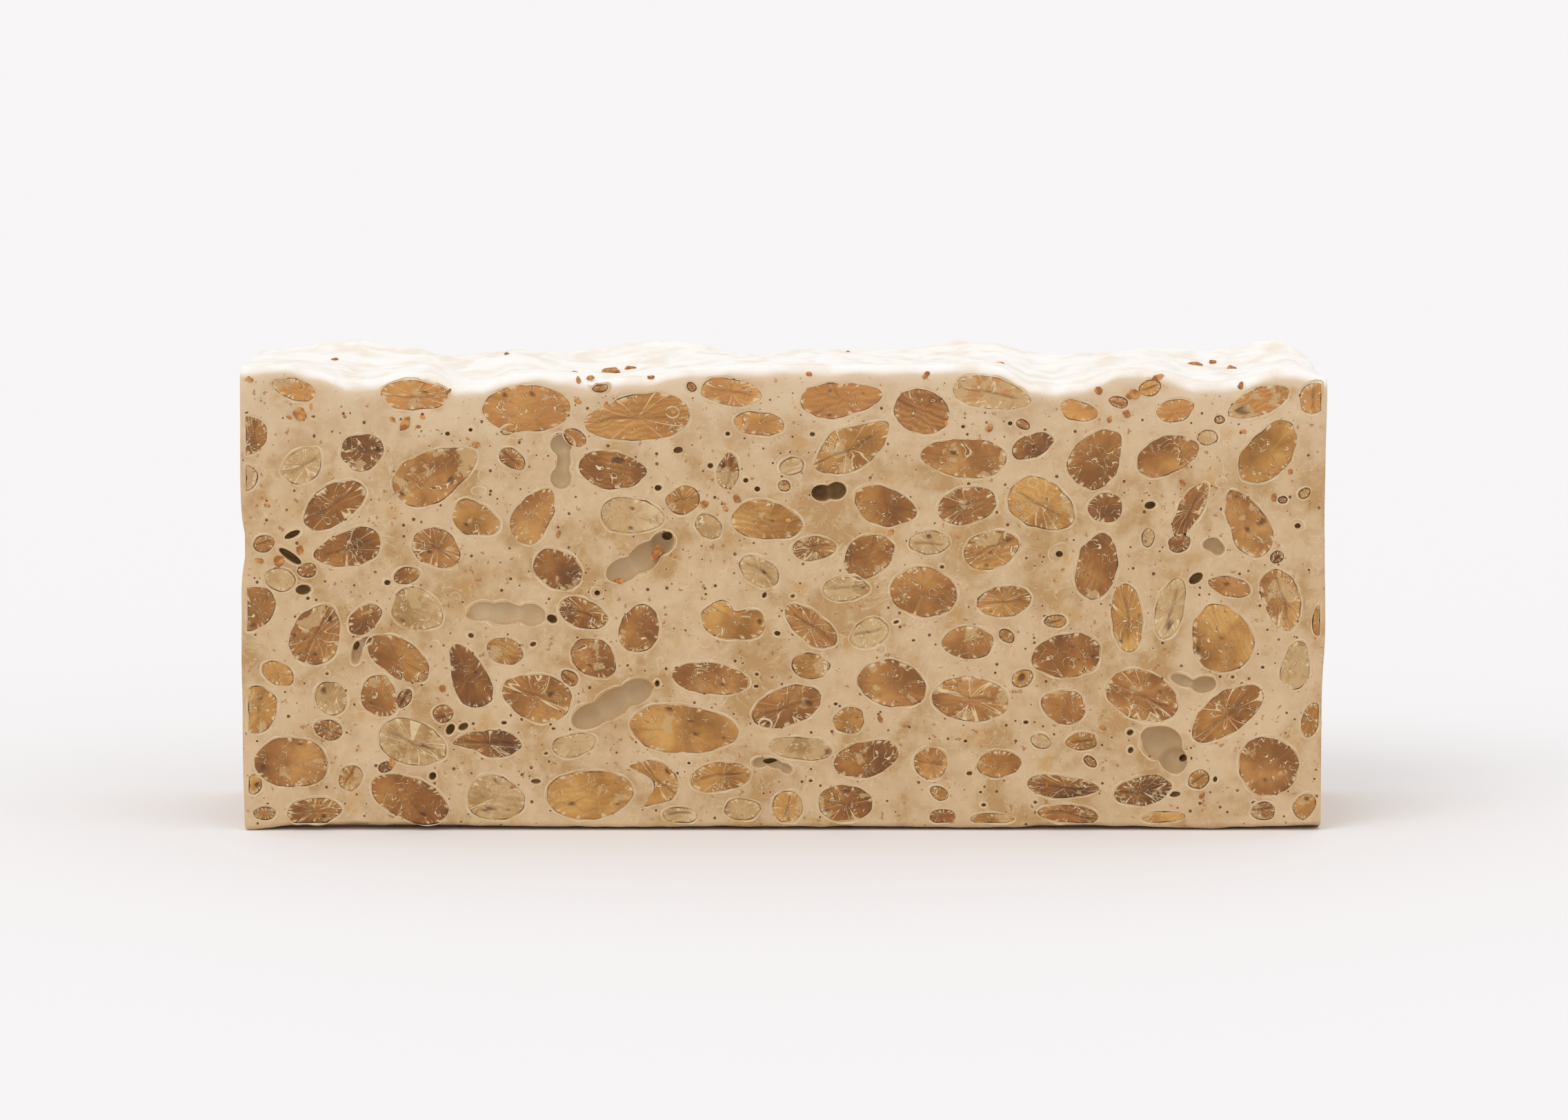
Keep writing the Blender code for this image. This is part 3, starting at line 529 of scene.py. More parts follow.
    # Short pale ticks of sugar just inside the husk, and a few flecks further in.
    tick = add(tree, "ShaderNodeTexNoise", {"Vector": spoke, "Scale": 2.6, "Detail": 1.0})
    ticked = add(tree, "ShaderNodeMapRange", {"Value": tick.outputs["Fac"], 1: 0.58, 2: 0.64, 3: 0.0, 4: 0.8})
    inside_rim = add(tree, "ShaderNodeMapRange", {"Value": edge, 1: 1.2, 2: 0.5, 3: 0.0, 4: 1.0})
    sugar = add(tree, "ShaderNodeMath", {0: ticked.outputs[0], 1: inside_rim.outputs[0]}, operation="MULTIPLY")
    fleck = add(tree, "ShaderNodeTexNoise", {"Vector": grain, "Scale": 1.3, "Detail": 2.0})
    flecked = add(tree, "ShaderNodeMapRange", {"Value": fleck.outputs["Fac"], 1: 0.755, 2: 0.78, 3: 0.0, 4: 0.55})
    sugars = add(tree, "ShaderNodeMath", {0: sugar.outputs[0], 1: flecked.outputs[0]}, operation="MAXIMUM")
    sugared = add(tree, "ShaderNodeMix", {
        0: sugars.outputs[0], 6: split.outputs[2], 7: linear("crystal")}, data_type="RGBA")
    # The husk, a dark line about 0.3 mm wide that is broken in places.
    husk = add(tree, "ShaderNodeMapRange", {"Value": edge, 1: 0.42, 2: 0.26, 3: 0.0, 4: 0.95})
    torn = add(tree, "ShaderNodeMapRange", {"Value": fibre.outputs["Fac"], 1: 0.34, 2: 0.48, 3: 0.35, 4: 1.0})
    husked = add(tree, "ShaderNodeMath", {0: husk.outputs[0], 1: torn.outputs[0]}, operation="MULTIPLY")
    rimmed = add(tree, "ShaderNodeMix", {
        0: husked.outputs[0], 6: sugared.outputs[2], 7: linear("husk")}, data_type="RGBA")
    # Painted shade: the kernel's sunken spots and split grooves are darkened.
    colour = add(tree, "ShaderNodeMix", {0: pit, 6: rimmed.outputs[2], 7: linear("pit")}, data_type="RGBA")
    tree.links.new(colour.outputs[2], shader.inputs["Base Color"])
    rough = add(tree, "ShaderNodeMapRange", {"Value": smear.outputs["Fac"], 1: 0.3, 2: 0.7, 3: 0.42, 4: 0.62})
    tree.links.new(rough.outputs[0], shader.inputs["Roughness"])
    height = add(tree, "ShaderNodeMath", {0: fibre.outputs["Fac"], 1: layered.outputs[0]})
    height = add(tree, "ShaderNodeMath", {0: height.outputs[0], 1: raised.outputs[0]})
    bump = add(tree, "ShaderNodeBump", {"Height": height.outputs[0], "Strength": 0.7, "Distance": 0.18 * MM})
    tree.links.new(bump.outputs["Normal"], shader.inputs["Normal"])
    return material


# ---------------------------------------------------------------------------------------------
# Kernels


RIM = (0.0, 0.16, 0.36, 0.80)  # the rim's rings, in millimetres in from a kernel's outline
UNIT_RIM = (1.0, 0.95, 0.90, 0.82)  # the same rings on the unit kernel
BOWL = ((-0.45, 0.9), (-0.45, 0.54))  # the bowl's rings behind: a drop, and a radius
LIP = ((-0.05, -0.12), (0.0, 0.01), (0.10, 0.07), (0.22, 0.05), (0.36, -0.05), (0.18, -0.22))
NEAR = 22  # outlines whose middles are further apart than this, in millimetres, can't cross


def add_unit_kernel(name, sides):
    """A unit kernel: a disc with close rings at its rim, an even grid inside, and a bowl behind."""
    bpy.ops.object.select_all(action="DESELECT")
    bpy.ops.mesh.primitive_circle_add(vertices=sides, radius=1, fill_type="NGON")
    unit = bpy.context.object
    unit.name = name
    bpy.ops.object.mode_set(mode="EDIT")
    bpy.ops.mesh.select_mode(type="VERT")
    for outer, inner in zip(UNIT_RIM, UNIT_RIM[1:]):
        bpy.ops.mesh.inset(thickness=outer - inner)
    bpy.ops.mesh.delete(type="ONLY_FACE")
    select_ring(unit, UNIT_RIM[-1])
    bpy.ops.mesh.fill_grid(span=sides // 4)
    select_ring(unit, 1.0)
    for drop, _ in BOWL:
        bpy.ops.mesh.extrude_region_move(TRANSFORM_OT_translate={"value": (0, 0, drop)})
    bpy.ops.mesh.edge_face_add()
    bpy.ops.mesh.select_all(action="SELECT")
    bpy.ops.mesh.normals_make_consistent(inside=False)
    bpy.ops.object.mode_set(mode="OBJECT")
    depth = 0
    for drop, radius in BOWL:
        depth += drop
        for vert in unit.data.vertices:
            if abs(vert.co.z - depth) < 0.01:
                vert.co.xy = vert.co.xy.normalized() * radius
    return unit


def select_ring(obj, radius):
    """Selects the vertices at one distance from the middle, and the edges between them."""
    bpy.ops.object.mode_set(mode="OBJECT")
    for element in (*obj.data.vertices, *obj.data.edges, *obj.data.polygons):
        element.select = False
    for vert in obj.data.vertices:
        vert.select = abs(vert.co.length - radius) < 0.01
    for edge in obj.data.edges:
        edge.select = all(obj.data.vertices[i].select for i in edge.vertices)
    bpy.ops.object.mode_set(mode="EDIT")


def closed_curve(points, turns):
    """A smooth closed curve through points, read at turns, each from 0 to 1 of the way round."""
    count = len(points)
    place = (np.asarray(turns) % 1) * count
    index = place.astype(int)
    t = (place - index)[:, None]
    a, b, c, d = (points[(index + shift) % count] for shift in (-1, 0, 1, 2))
    return 0.5 * (2 * b + (c - a) * t + (2 * a - 5 * b + 4 * c - d) * t**2 + (3 * b - a - 3 * c + d) * t**3)


def oval(kernel, seed):
    """The outline of a small kernel as points on its face, in millimetres, uneven like a real cut."""
    x, z, length, width, tilt = kernel[:5]
    turn = math.radians(tilt)
    points = []
    for i in range(16):
        a = math.tau * i / 16
        uneven = 1 + 0.08 * noise.noise(Vector((math.cos(a) * 1.3, math.sin(a) * 1.3, seed * 3.7)))
        along = length / 2 * math.cos(a) * uneven
        across = width / 2 * math.sin(a) * uneven * (1 - 0.14 * math.sin(seed * 2.1) * math.cos(a))
        points.append((x + along * math.cos(turn) - across * math.sin(turn),
                       z + along * math.sin(turn) + across * math.cos(turn)))
    return rough_outline(np.array(points), seed)


def node_outline(node):
    """The cut outline of a CAD kernel as points on the front, in millimetres, in order round it."""
    mesh = frame["nodes"][node].data
    cut = {(round(v.co.x / MM, 3), round(v.co.z / MM, 3)) for v in mesh.vertices if v.co.y < FRONT_Y + 0.01 * MM}
    points = np.array(sorted(cut))
    middle = points.mean(axis=0)
    order = np.argsort(np.arctan2(points[:, 1] - middle[1], points[:, 0] - middle[0]))
    return points[order]


def rough_outline(points, seed):
    """An outline with small uneven bays and bumps, as a blade leaves it."""
    spots = closed_curve(points, np.arange(56) / 56)
    middle = spots.mean(axis=0)
    for spot in spots:
        reach = np.linalg.norm(spot - middle)
        bay = 0.34 * noise.noise(Vector((spot[0] / 3.4, spot[1] / 3.4, seed)))
        bay += 0.16 * noise.noise(Vector((spot[0] / 1.3, spot[1] / 1.3, seed + 4)))
        spot += (spot - middle) / reach * bay * min(1, reach / 4)
    return spots


def long_axis(points):
    """The unit direction in which an outline is longest."""
    spread = np.linalg.eigh(np.cov((points - points.mean(axis=0)).T))[1][:, 1]
    return spread if spread[0] >= 0 else -spread


def kernel_relief(place, edge, look, seed, half_length):
    """How far a cut kernel stands out at one place, and how much painted shade it gets there, in sunken spots and split
    grooves.
    """
    along, across = place
    split = look[1]
    height = 0.10 * noise.noise(Vector((along / 3.6, across / 3.6, seed)))
    height += 0.05 * noise.noise(Vector((along / 1.1, across / 1.1, seed + 9)))
    height -= 0.16 * float(smooth(0.30, 0.0, edge))
    line = across - 0.9 * noise.noise(Vector((along / 4.5, seed, 3.0)))
    crack = split * math.exp(-((line / 0.20) ** 2)) * float(smooth(0.78, 0.55, abs(along) / half_length))
    broken = noise.noise(Vector((along / 2.1, across / 1.7, seed + 31)))
    # Sunken spots, which the material also darkens with painted shade.
    pit = float(smooth(0.60, 0.72, broken)) * float(smooth(0.5, 1.1, edge))
    return (height - 0.30 * crack - 0.40 * pit) * MM, min(1.0, 0.70 * pit + 0.34 * crack)


def shaped_kernel(unit, face, outline, look, seed, depth, strength):
    """The vertices of one kernel, shaped from the unit kernel, and its looks at each of them."""
    count = len(unit.data.vertices)
    flat = np.empty(count * 3)
    unit.data.vertices.foreach_get("co", flat)
    flat = flat.reshape(-1, 3)
    radius = np.hypot(flat[:, 0], flat[:, 1])
    turns = np.arctan2(flat[:, 1], flat[:, 0]) / math.tau
    middle = outline.mean(axis=0)
    axis = long_axis(outline)
    side = np.array((-axis[1], axis[0]))
    reach = closed_curve(outline, turns) - middle
    far = np.linalg.norm(reach, axis=1)
    front = flat[:, 2] > -0.01
    inner = np.interp(radius, UNIT_RIM[::-1], [1 - rim for rim in RIM[::-1]])
    share = np.where(radius < UNIT_RIM[-1], radius / UNIT_RIM[-1] * (1 - RIM[-1] / far), 1 - (1 - inner) / far)
    share = np.where(front, share, radius)
    spots = reach * share[:, None]
    edge = np.where(front, far * (1 - share), 0.0)
    along, across = spots @ axis, spots @ side
    half_length = float(np.abs(closed_curve(outline, np.linspace(0, 1, 48)) @ axis - middle @ axis).max())
    points, shaded_pits = [], []
    for i in range(count):
        x, up = (middle + spots[i]) * MM
        out, pit = 0.0, 0.0
        if front[i]:
            out, pit = kernel_relief((along[i], across[i]), edge[i], look, seed, half_length)
        else:
            out = flat[i, 2] * depth
        points.append(on_face(face, x, up, out * (strength if front[i] else 1) - sawn_bow(face, x, up)))
        shaded_pits.append(pit)
    way = flat[:, :2] / np.maximum(radius, 0.08)[:, None]
    seeds = np.full(count, seed * 17.3)
    return points, {
        "edge": edge, "pit": np.array(shaded_pits),
        "grain": np.stack((along, across, seeds), axis=1),
        "spoke": np.stack((way[:, 0] * 2.2, way[:, 1] * 2.2, radius * 0.5 + seeds), axis=1),
        "look": np.tile(np.array(look), (count, 1)),
        # Painted light from above: how much lighter and more orange a kernel high on the front is made.
        "lit_from_above": np.full(count, float(smooth(70, 80, middle[1])) if face == "front" else 0.0),
    }


def cut_seats(face_outlines, depth, sides):
    """Sinks a straight-sided seat into the bar for each outline on a face.

    Each seat is unevenly narrower than its outline, so that nougat laps over parts of the rim.
    """
    points, faces = [], []
    for face, outline in face_outlines:
        start = len(points)
        middle = outline.mean(axis=0)
        for spot in closed_curve(outline, np.arange(sides) / sides):
            reach = np.linalg.norm(spot - middle)
            lap = 0.28 + 0.26 * noise.noise(Vector((spot[0] / 2.4, spot[1] / 2.4, start)))
            x, up = (spot - (spot - middle) / reach * lap * min(1, reach / 3)) * MM
            for out in (0.9 * MM, -0.9 * depth - 0.2 * MM):
                points.append(on_face(face, x, up, out - sawn_bow(face, x, up)))
        faces.append(tuple(start + 2 * i for i in range(sides)))
        faces.append(tuple(start + 2 * i + 1 for i in reversed(range(sides))))
        for i in range(sides):
            after = (i + 1) % sides
            faces.append((start + 2 * i, start + 2 * i + 1, start + 2 * after + 1, start + 2 * after))
    mesh = bpy.data.meshes.new("seat_cutter")
    mesh.from_pydata(points, [], faces)
    cutter = bpy.data.objects.new("seat_cutter", mesh)
    bpy.context.scene.collection.objects.link(cutter)
    cutter.data.materials.append(bpy.data.materials["sawn nougat"])
    hollow_bar(cutter)


def add_lips(name, rings, sides):
    """Thin pale lips of nougat squeezed up round each outline, broken where they cross another.

    LIP is the section of a lip: places out from the outline and up from the face, in millimetres.
    """
    turns = np.arange(sides) / sides
    curves = [(face, closed_curve(outline, turns)) for face, outline in rings]
    points, faces = [], []
    for number, (face, curve) in enumerate(curves):
        middle = curve.mean(axis=0)
        along = np.roll(curve, -1, axis=0) - np.roll(curve, 1, axis=0)
        side = np.stack((along[:, 1], -along[:, 0]), axis=1)
        side /= np.linalg.norm(side, axis=1)[:, None]
        buried = np.zeros(len(curve), dtype=bool)
        for other, (where, around) in enumerate(curves):
            if other != number and where == face and np.linalg.norm(around.mean(axis=0) - middle) < NEAR:
                buried |= inside(curve + side * 0.25, around)
        start = len(points)
        for i, spot in enumerate(curve):
            bump = noise.noise(Vector((spot[0] / 2.2, spot[1] / 2.2, number * 1.3)))
            wave = min(1.3, max(0.1, 0.7 + 1.1 * bump))
            for out, high in LIP:
                x, up = (spot + side[i] * out * wave) * MM
                raised = high * (wave if high > 0.03 else 1)
                points.append(on_face(face, x, up, raised * MM - sawn_bow(face, x, up)))
        wide, count = len(LIP), len(curve)
        for i in range(count):
            if buried[i]:
                continue
            if buried[i - 1]:
                faces.append(tuple(start + i * wide + k for k in range(wide)))
            if buried[(i + 1) % count]:
                faces.append(tuple(start + i * wide + k for k in reversed(range(wide))))
                continue
            for k in range(wide):
                faces.append(tuple(start + (i + a) % count * wide + (k + b) % wide
                                   for a, b in ((0, 0), (1, 0), (1, 1), (0, 1))))
    mesh = bpy.data.meshes.new(name)
    mesh.from_pydata(points, [], faces)
    mesh.shade_smooth()
    mesh.materials.append(bpy.data.materials["nougat lip"])
    obj = bpy.data.objects.new(name, mesh)
    bpy.context.scene.collection.objects.link(obj)
    bpy.ops.object.select_all(action="DESELECT")
    obj.select_set(True)
    bpy.context.view_layer.objects.active = obj
    bpy.ops.object.mode_set(mode="EDIT")
    bpy.ops.mesh.select_all(action="SELECT")
    bpy.ops.mesh.delete_loose()
    bpy.ops.mesh.select_all(action="SELECT")
    bpy.ops.mesh.normals_make_consistent(inside=False)
    bpy.ops.object.mode_set(mode="OBJECT")
    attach(obj, BODY)
    return obj


def inside(spots, around):
    """Which spots lie inside a closed outline."""
    x, y = spots[:, :1], spots[:, 1:]
    ax, ay = around[:, 0], around[:, 1]
    bx, by = np.roll(ax, -1), np.roll(ay, -1)
    crosses = (ay > y) != (by > y)
    slope = np.where(by == ay, 1e-9, by - ay)
    return (crosses & (x < (bx - ax) * (y - ay) / slope + ax)).sum(axis=1) % 2 == 1


def joined_kernels(name, unit, shapes, material):
    """One object of copies of the unit kernel's faces, each with its own vertices and looks."""
    faces = [tuple(face.vertices) for face in unit.data.polygons]
    count = len(unit.data.vertices)
    mesh = bpy.data.meshes.new(name)
    points = [point for made, _ in shapes for point in made]
    mesh.from_pydata(points, [], [tuple(i + n * count for i in face) for n in range(len(shapes)) for face in faces])
    for key in ("edge", "pit", "lit_from_above", "grain", "spoke", "look"):
        values = np.concatenate([looks[key] for _, looks in shapes]).astype(np.float32)
        kind = "FLOAT" if values.ndim == 1 else "FLOAT_VECTOR"
        layer = mesh.attributes.new(key, kind, "POINT")
        layer.data.foreach_set("value" if values.ndim == 1 else "vector", values.ravel())
    mesh.shade_smooth()
    mesh.materials.append(material)
    obj = bpy.data.objects.new(name, mesh)
    bpy.context.scene.collection.objects.link(obj)
    return obj


def look_of(seed, film):
    """How a kernel's cut looks: its nougat film, whether it is split along, and its layers."""
    chance = random.Random(round(seed * 10))
    split = 1.0 if chance.random() < 0.4 else 0.0
    layers = chance.choice((0.0, 0.0, 0.0, 0.2, 0.4))
    return (0.24 + 0.30 * film, split, layers)


def kept_on_front(outline, tree):
    """An outline held inside the front's worn edges."""
    margin = 0.9
    kept = outline.copy()
    kept[:, 0] = np.clip(kept[:, 0], LOW.x / MM + margin + 0.4, HIGH.x / MM - margin - 0.6)
    for point in kept:
        top = cad_top(tree, point[0] * MM, LOW.y) / MM
        point[1] = min(max(point[1], margin + 0.5), top - margin)
    return kept


def scattered(seed, width, height, sizes, clear, around=()):
    """Random ovals over a sawn face, kept clear of each other and of others already around.

    The sizes are lengths with a number of tries each, the largest first. Each oval is x, z,
    length, width, tilt, in millimetres and degrees.
    """
    chance = random.Random(seed)
    placed = list(around)
    for size, tries in sizes:
        for _ in range(tries):
            length = size * chance.uniform(0.88, 1.12)
            across = length * chance.uniform(0.5, 0.82)
            spot = (chance.uniform(-width / 2, width / 2), chance.uniform(0, height))
            tilt = chance.uniform(-45, 60)
            lean = abs(math.sin(math.radians(tilt)))
            half_wide = length / 2 * (1 - 0.5 * lean) + 1.4
            half_tall = (across + (length - across) * lean) / 2 + 1.4
            if abs(spot[0]) > width / 2 - half_wide or not half_tall < spot[1] < height - half_tall:
                continue
            if all(oval_gap((*spot, length, across, tilt), other) > clear for other in placed):
                placed.append((*spot, length, across, tilt))
    return placed[len(around):]


def oval_gap(one, other):
    """Roughly how far apart two ovals are, along the line between their middles."""
    way = math.atan2(other[1] - one[1], other[0] - one[0])
    gap = math.dist(one[:2], other[:2])
    for shape in (one, other):
        turn = way - math.radians(shape[4])
        gap -= 0.5 / math.hypot(math.cos(turn) / shape[2], math.sin(turn) / shape[3])
    return gap


# ---------------------------------------------------------------------------------------------
# Operators


class NOUGAT_OT_materials(bpy.types.Operator):
    """Make the bar's materials"""

    bl_idname = "nougat.materials"
    bl_label = "Materials"

    def execute(self, context):
        make_nougat_material("sawn nougat")
        make_wall_material("bubble wall", "bubble", 0.5)
        # Pore and hollow walls are painted shade: dark where a hole holds shade.
        make_wall_material("shaded pore wall", "pore", 0.6)
        make_wall_material("nougat lip", "lip", 0.45)
        make_crumb_material("kernel crumb")
        for roast in TONES:
            make_kernel_material(roast)
        return {"FINISHED"}


def spaced(low, high, step):
    """Cuts from low to high: close together at both worn edges, and about a step apart between."""
    near = [offset * MM for offset in (0, 0.3, 0.65, 1.1, 1.7, 2.5)]
    count = round((high - low - 2 * near[-1]) / step)
    middle = np.linspace(low + near[-1], high - near[-1], count + 1)[1:-1]
    return [low + n for n in near] + list(middle) + [high - n for n in reversed(near)]


def settle_bar(mesh, tree, settings):
    """Moves the gridded box's vertices to the bar's real surface, and returns each one's skin, with a band of painted
    light down the sawn faces just below the top edge.
    """
    radius = settings.round_off
    skins = np.zeros(len(mesh.vertices))
    for i, vert in enumerate(mesh.vertices):
        x, y, z = vert.co
        top = cad_top(tree, x, y)
        lump = noise.noise(Vector((x / (6.5 * MM), y / (5.5 * MM), 4.0)))
        lump += 0.45 * noise.noise(Vector((x / (2.6 * MM), y / (2.4 * MM), 9.0)))
        back = float(smooth(0.0, 0.4, (y - LOW.y) / (HIGH.y - LOW.y)))
        top += settings.lump * lump * (0.55 + 0.45 * back) - 0.5 * MM * back
        top -= 2.6 * MM * float(smooth(0.093, 0.1, x))
        share = z / HIGH.z
        high = share * top
        # Rounds the worn edges: the point moves onto a ball of the edge's radius.
        low = Vector((LOW.x + radius, LOW.y + radius, radius))
        far = Vector((HIGH.x - radius, HIGH.y - radius, top - radius))
        point = Vector((x, y, high))
        core = Vector(min(max(point[k], low[k]), far[k]) for k in range(3))
        away = point - core
        if away.length > 1e-7:
            point = core + away.normalized() * min(away.length, radius)
        for face, (_, _, _, outward) in FACES.items():
            reach = (point - core).dot(outward) / radius
            if reach > 0:
                across = point.dot(FACES[face][1])
                point -= outward * sawn_bow(face, across, point.z) * reach
        # The lower front edge lifts off the table a little, unevenly.
        lift = 0.7 + 0.5 * noise.noise(Vector((point.x / (22 * MM), 2.0, 5.0)))
        lift += 0.8 * math.exp(-(((point.x + 78 * MM) / (16 * MM)) ** 2))
        lift += 0.3 * noise.noise(Vector((point.x / (4.5 * MM), 6.0, 5.0)))
        lift *= float(smooth(-0.1, -0.088, point.x))
        near = float(smooth(LOW.y + 0.006, LOW.y, point.y)) * float(smooth(2.2 * MM, 0.0, point.z))
        point.z += lift * near * MM
        vert.co = point
        cap = float(smooth(0.25, 0.95, (point.z - core.z) / radius)) if share > 0.5 else 0.0
        # A band just below the top edge of the sawn faces, for painted light from above.
        reach = (2.6 + 1.6 * noise.noise(Vector((x / (8 * MM), y / (8 * MM), 2.0)))) * MM
        band = 0.34 * float(smooth(top - reach - 1.5 * MM, top - 0.3 * reach, point.z))
        band += 0.42 * float(smooth(top - 0.95 * reach, top - 0.3 * reach, point.z))
        skins[i] = max(cap, band)
    return skins


class NOUGAT_OT_bar(bpy.types.Operator):
    """Model the bar's body, with its worn edges and its lumpy skin"""

    bl_idname = "nougat.bar"
    bl_label = "Bar"

    def execute(self, context):
        settings = context.scene.nougat
        tree = cad_tree()
        step = 1.25 * MM
        cuts = [spaced(LOW[axis] if axis < 2 else 0.0, HIGH[axis], step) for axis in range(3)]
        bpy.ops.object.select_all(action="DESELECT")
        bpy.ops.mesh.primitive_grid_add(
            x_subdivisions=len(cuts[0]) - 1, y_subdivisions=len(cuts[2]) - 1, size=1,
            rotation=(math.pi / 2, 0, 0))
        bar = context.object
        bar.name = "nougat_bar"
        bpy.ops.object.transform_apply(location=False, rotation=True, scale=True)
        bpy.ops.object.mode_set(mode="EDIT")
        for _ in range(len(cuts[1]) - 1):
            bpy.ops.mesh.extrude_region_move(TRANSFORM_OT_translate={"value": (0, 1, 0)})
        bpy.ops.mesh.select_all(action="SELECT")
        bpy.ops.mesh.normals_make_consistent(inside=False)
        bpy.ops.object.mode_set(mode="OBJECT")
        mesh = bar.data
        for vert in mesh.vertices:
            x = round((vert.co.x + 0.5) * (len(cuts[0]) - 1))
            z = round((vert.co.z + 0.5) * (len(cuts[2]) - 1))
            vert.co = (cuts[0][x], cuts[1][round(vert.co.y)], cuts[2][z])
        skins = settle_bar(mesh, tree, settings)
        layer = mesh.attributes.new("skin", "FLOAT", "POINT")
        layer.data.foreach_set("value", skins.astype(np.float32))
        mesh.shade_smooth()
        for name in ("sawn nougat", "bubble wall", "shaded pore wall"):
            mesh.materials.append(bpy.data.materials[name])
        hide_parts("nougat")
        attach(bar, BODY)
        return {"FINISHED"}


class NOUGAT_OT_pockets(bpy.types.Operator):
    """Sink the open air pockets, and the pores and hollows with walls of painted shade, into the bar's front, with
    their pale lips
    """

    bl_idname = "nougat.pockets"
    bl_label = "Air pockets"

    def execute(self, context):
        cut_blobs("pocket_cutter", POCKETS, "bubble wall", voxel=FINE_VOXEL)
        # The hollows and pores get walls of painted shade.
        cut_blobs("hollow_cutter", HOLLOWS, "shaded pore wall", voxel=0.3 * MM)
        pores = [(*pore, 0.9 * pore[3]) for pore in PORES]
        cut_blobs("pore_cutter", pores, "shaded pore wall", voxel=0)
        rings = [("front", oval((*blob[:2], blob[2] + 0.3, blob[3] + 0.3, blob[4]), n + 0.5))
                 for n, blob in enumerate(POCKETS + HOLLOWS + PORES + BUBBLES)]
        add_lips("bubble_lips", rings, 56)
        return {"FINISHED"}


def cut_blobs(name, blobs, wall, voxel, face="front"):
    """Cuts flattened balls out of a face of the bar, melted together first where a voxel is given."""
    _, right, up, out = FACES[face]
    frame_turn = Matrix((right, up, out)).transposed().to_4x4()
    made = []
    for x, z, length, width, tilt, depth in blobs:
        bpy.ops.mesh.primitive_ico_sphere_add(subdivisions=3 if voxel else 2, radius=1)
        ball = bpy.context.object
        scale = Matrix.Diagonal((length / 2 * MM, width / 2 * MM, 1.05 * depth * MM, 1))
        ball.data.transform(
            Matrix.Translation(on_face(face, x * MM, z * MM, 0)) @ frame_turn
            @ Matrix.Rotation(math.radians(tilt), 4, "Z") @ scale)
        made.append(ball)
    bpy.ops.object.select_all(action="DESELECT")
    for obj in made:
        obj.select_set(True)
    bpy.context.view_layer.objects.active = made[0]
    bpy.ops.object.join()
    cutter = bpy.context.object
    cutter.name = name
    if voxel:
        cutter.data.remesh_voxel_size = voxel
        bpy.ops.object.voxel_remesh()
        soften = cutter.modifiers.new("soften", "SMOOTH")
        soften.iterations = 14
        bpy.ops.object.modifier_apply(modifier=soften.name)
    cutter.data.materials.clear()
    cutter.data.materials.append(bpy.data.materials[wall])
    hollow_bar(cutter)


def hollow_bar(cutter):
    """Cuts a closed cutter out of the bar, and removes the cutter."""
    bar = bpy.data.objects["nougat_bar"]
    bpy.ops.object.select_all(action="DESELECT")
    bar.select_set(True)
    bpy.context.view_layer.objects.active = bar
    hollow = bar.modifiers.new(cutter.name, "BOOLEAN")
    hollow.operation = "DIFFERENCE"
    hollow.solver = "MANIFOLD"
    hollow.material_mode = "TRANSFER"
    hollow.object = cutter
    bpy.ops.object.modifier_apply(modifier=hollow.name)
    bpy.data.objects.remove(cutter)
    bpy.ops.object.shade_smooth_by_angle(angle=math.radians(40))


class NOUGAT_OT_front_kernels(bpy.types.Operator):
    """Model each large cut kernel of the front from its CAD node"""

    bl_idname = "nougat.front_kernels"
    bl_label = "Front kernels"

    def execute(self, context):
        unit = add_unit_kernel("unit_kernel", 112)
        names = sorted(node for node in frame["nodes"] if node.startswith("kernel_"))
        outlines = [
            ("front", rough_outline(np.array(REFINED[node][::-1]) if node in REFINED else node_outline(node), n))
            for n, node in enumerate(names)]
        cut_seats(outlines, KERNEL_DEPTH, 56)
        add_lips("front_lips", outlines, 72)
        for number, node in enumerate(names):
            roast = SLOTS[node].split("_")[1]
            seed = number + 1.5
            film = random.Random(number).uniform(0.0, 0.5) + (0.35 if roast == "pale" else 0)
            outline = outlines[number][1]
            shape = shaped_kernel(unit, "front", outline, look_of(seed, film), seed, KERNEL_DEPTH,
                                  context.scene.nougat.relief)
            piece = joined_kernels(f"cut_{node}", unit, [shape], bpy.data.materials[f"roasted kernel {roast}"])
            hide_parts(node)
            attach(piece, BODY)
        bpy.data.objects.remove(unit)
        return {"FINISHED"}


class NOUGAT_OT_small_kernels(bpy.types.Operator):
    """Model the small kernels and pieces of the front, joined by how roasted they are"""

    bl_idname = "nougat.small_kernels"
    bl_label = "Small kernels"

    def execute(self, context):
        tree = cad_tree()
        unit = add_unit_kernel("unit_piece", 64)
        outlines = [kept_on_front(oval(kernel, 100.5 + number), tree) for number, kernel in enumerate(SMALL)]
        cut_seats([("front", outline) for outline in outlines], PIECE_DEPTH, 40)
        add_lips("small_lips", [("front", outline) for outline in outlines], 56)
        for roast in TONES:
            shapes = []
            for number, kernel in enumerate(SMALL):
                if kernel[5] == roast:
                    seed = 100.5 + number
                    shapes.append(shaped_kernel(unit, "front", outlines[number], look_of(seed, kernel[6]), seed,
                                                PIECE_DEPTH, context.scene.nougat.relief))
            piece = joined_kernels(f"small_kernels_{roast}", unit, shapes,
                                   bpy.data.materials[f"roasted kernel {roast}"])
            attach(piece, BODY)
        bpy.data.objects.remove(unit)
        return {"FINISHED"}


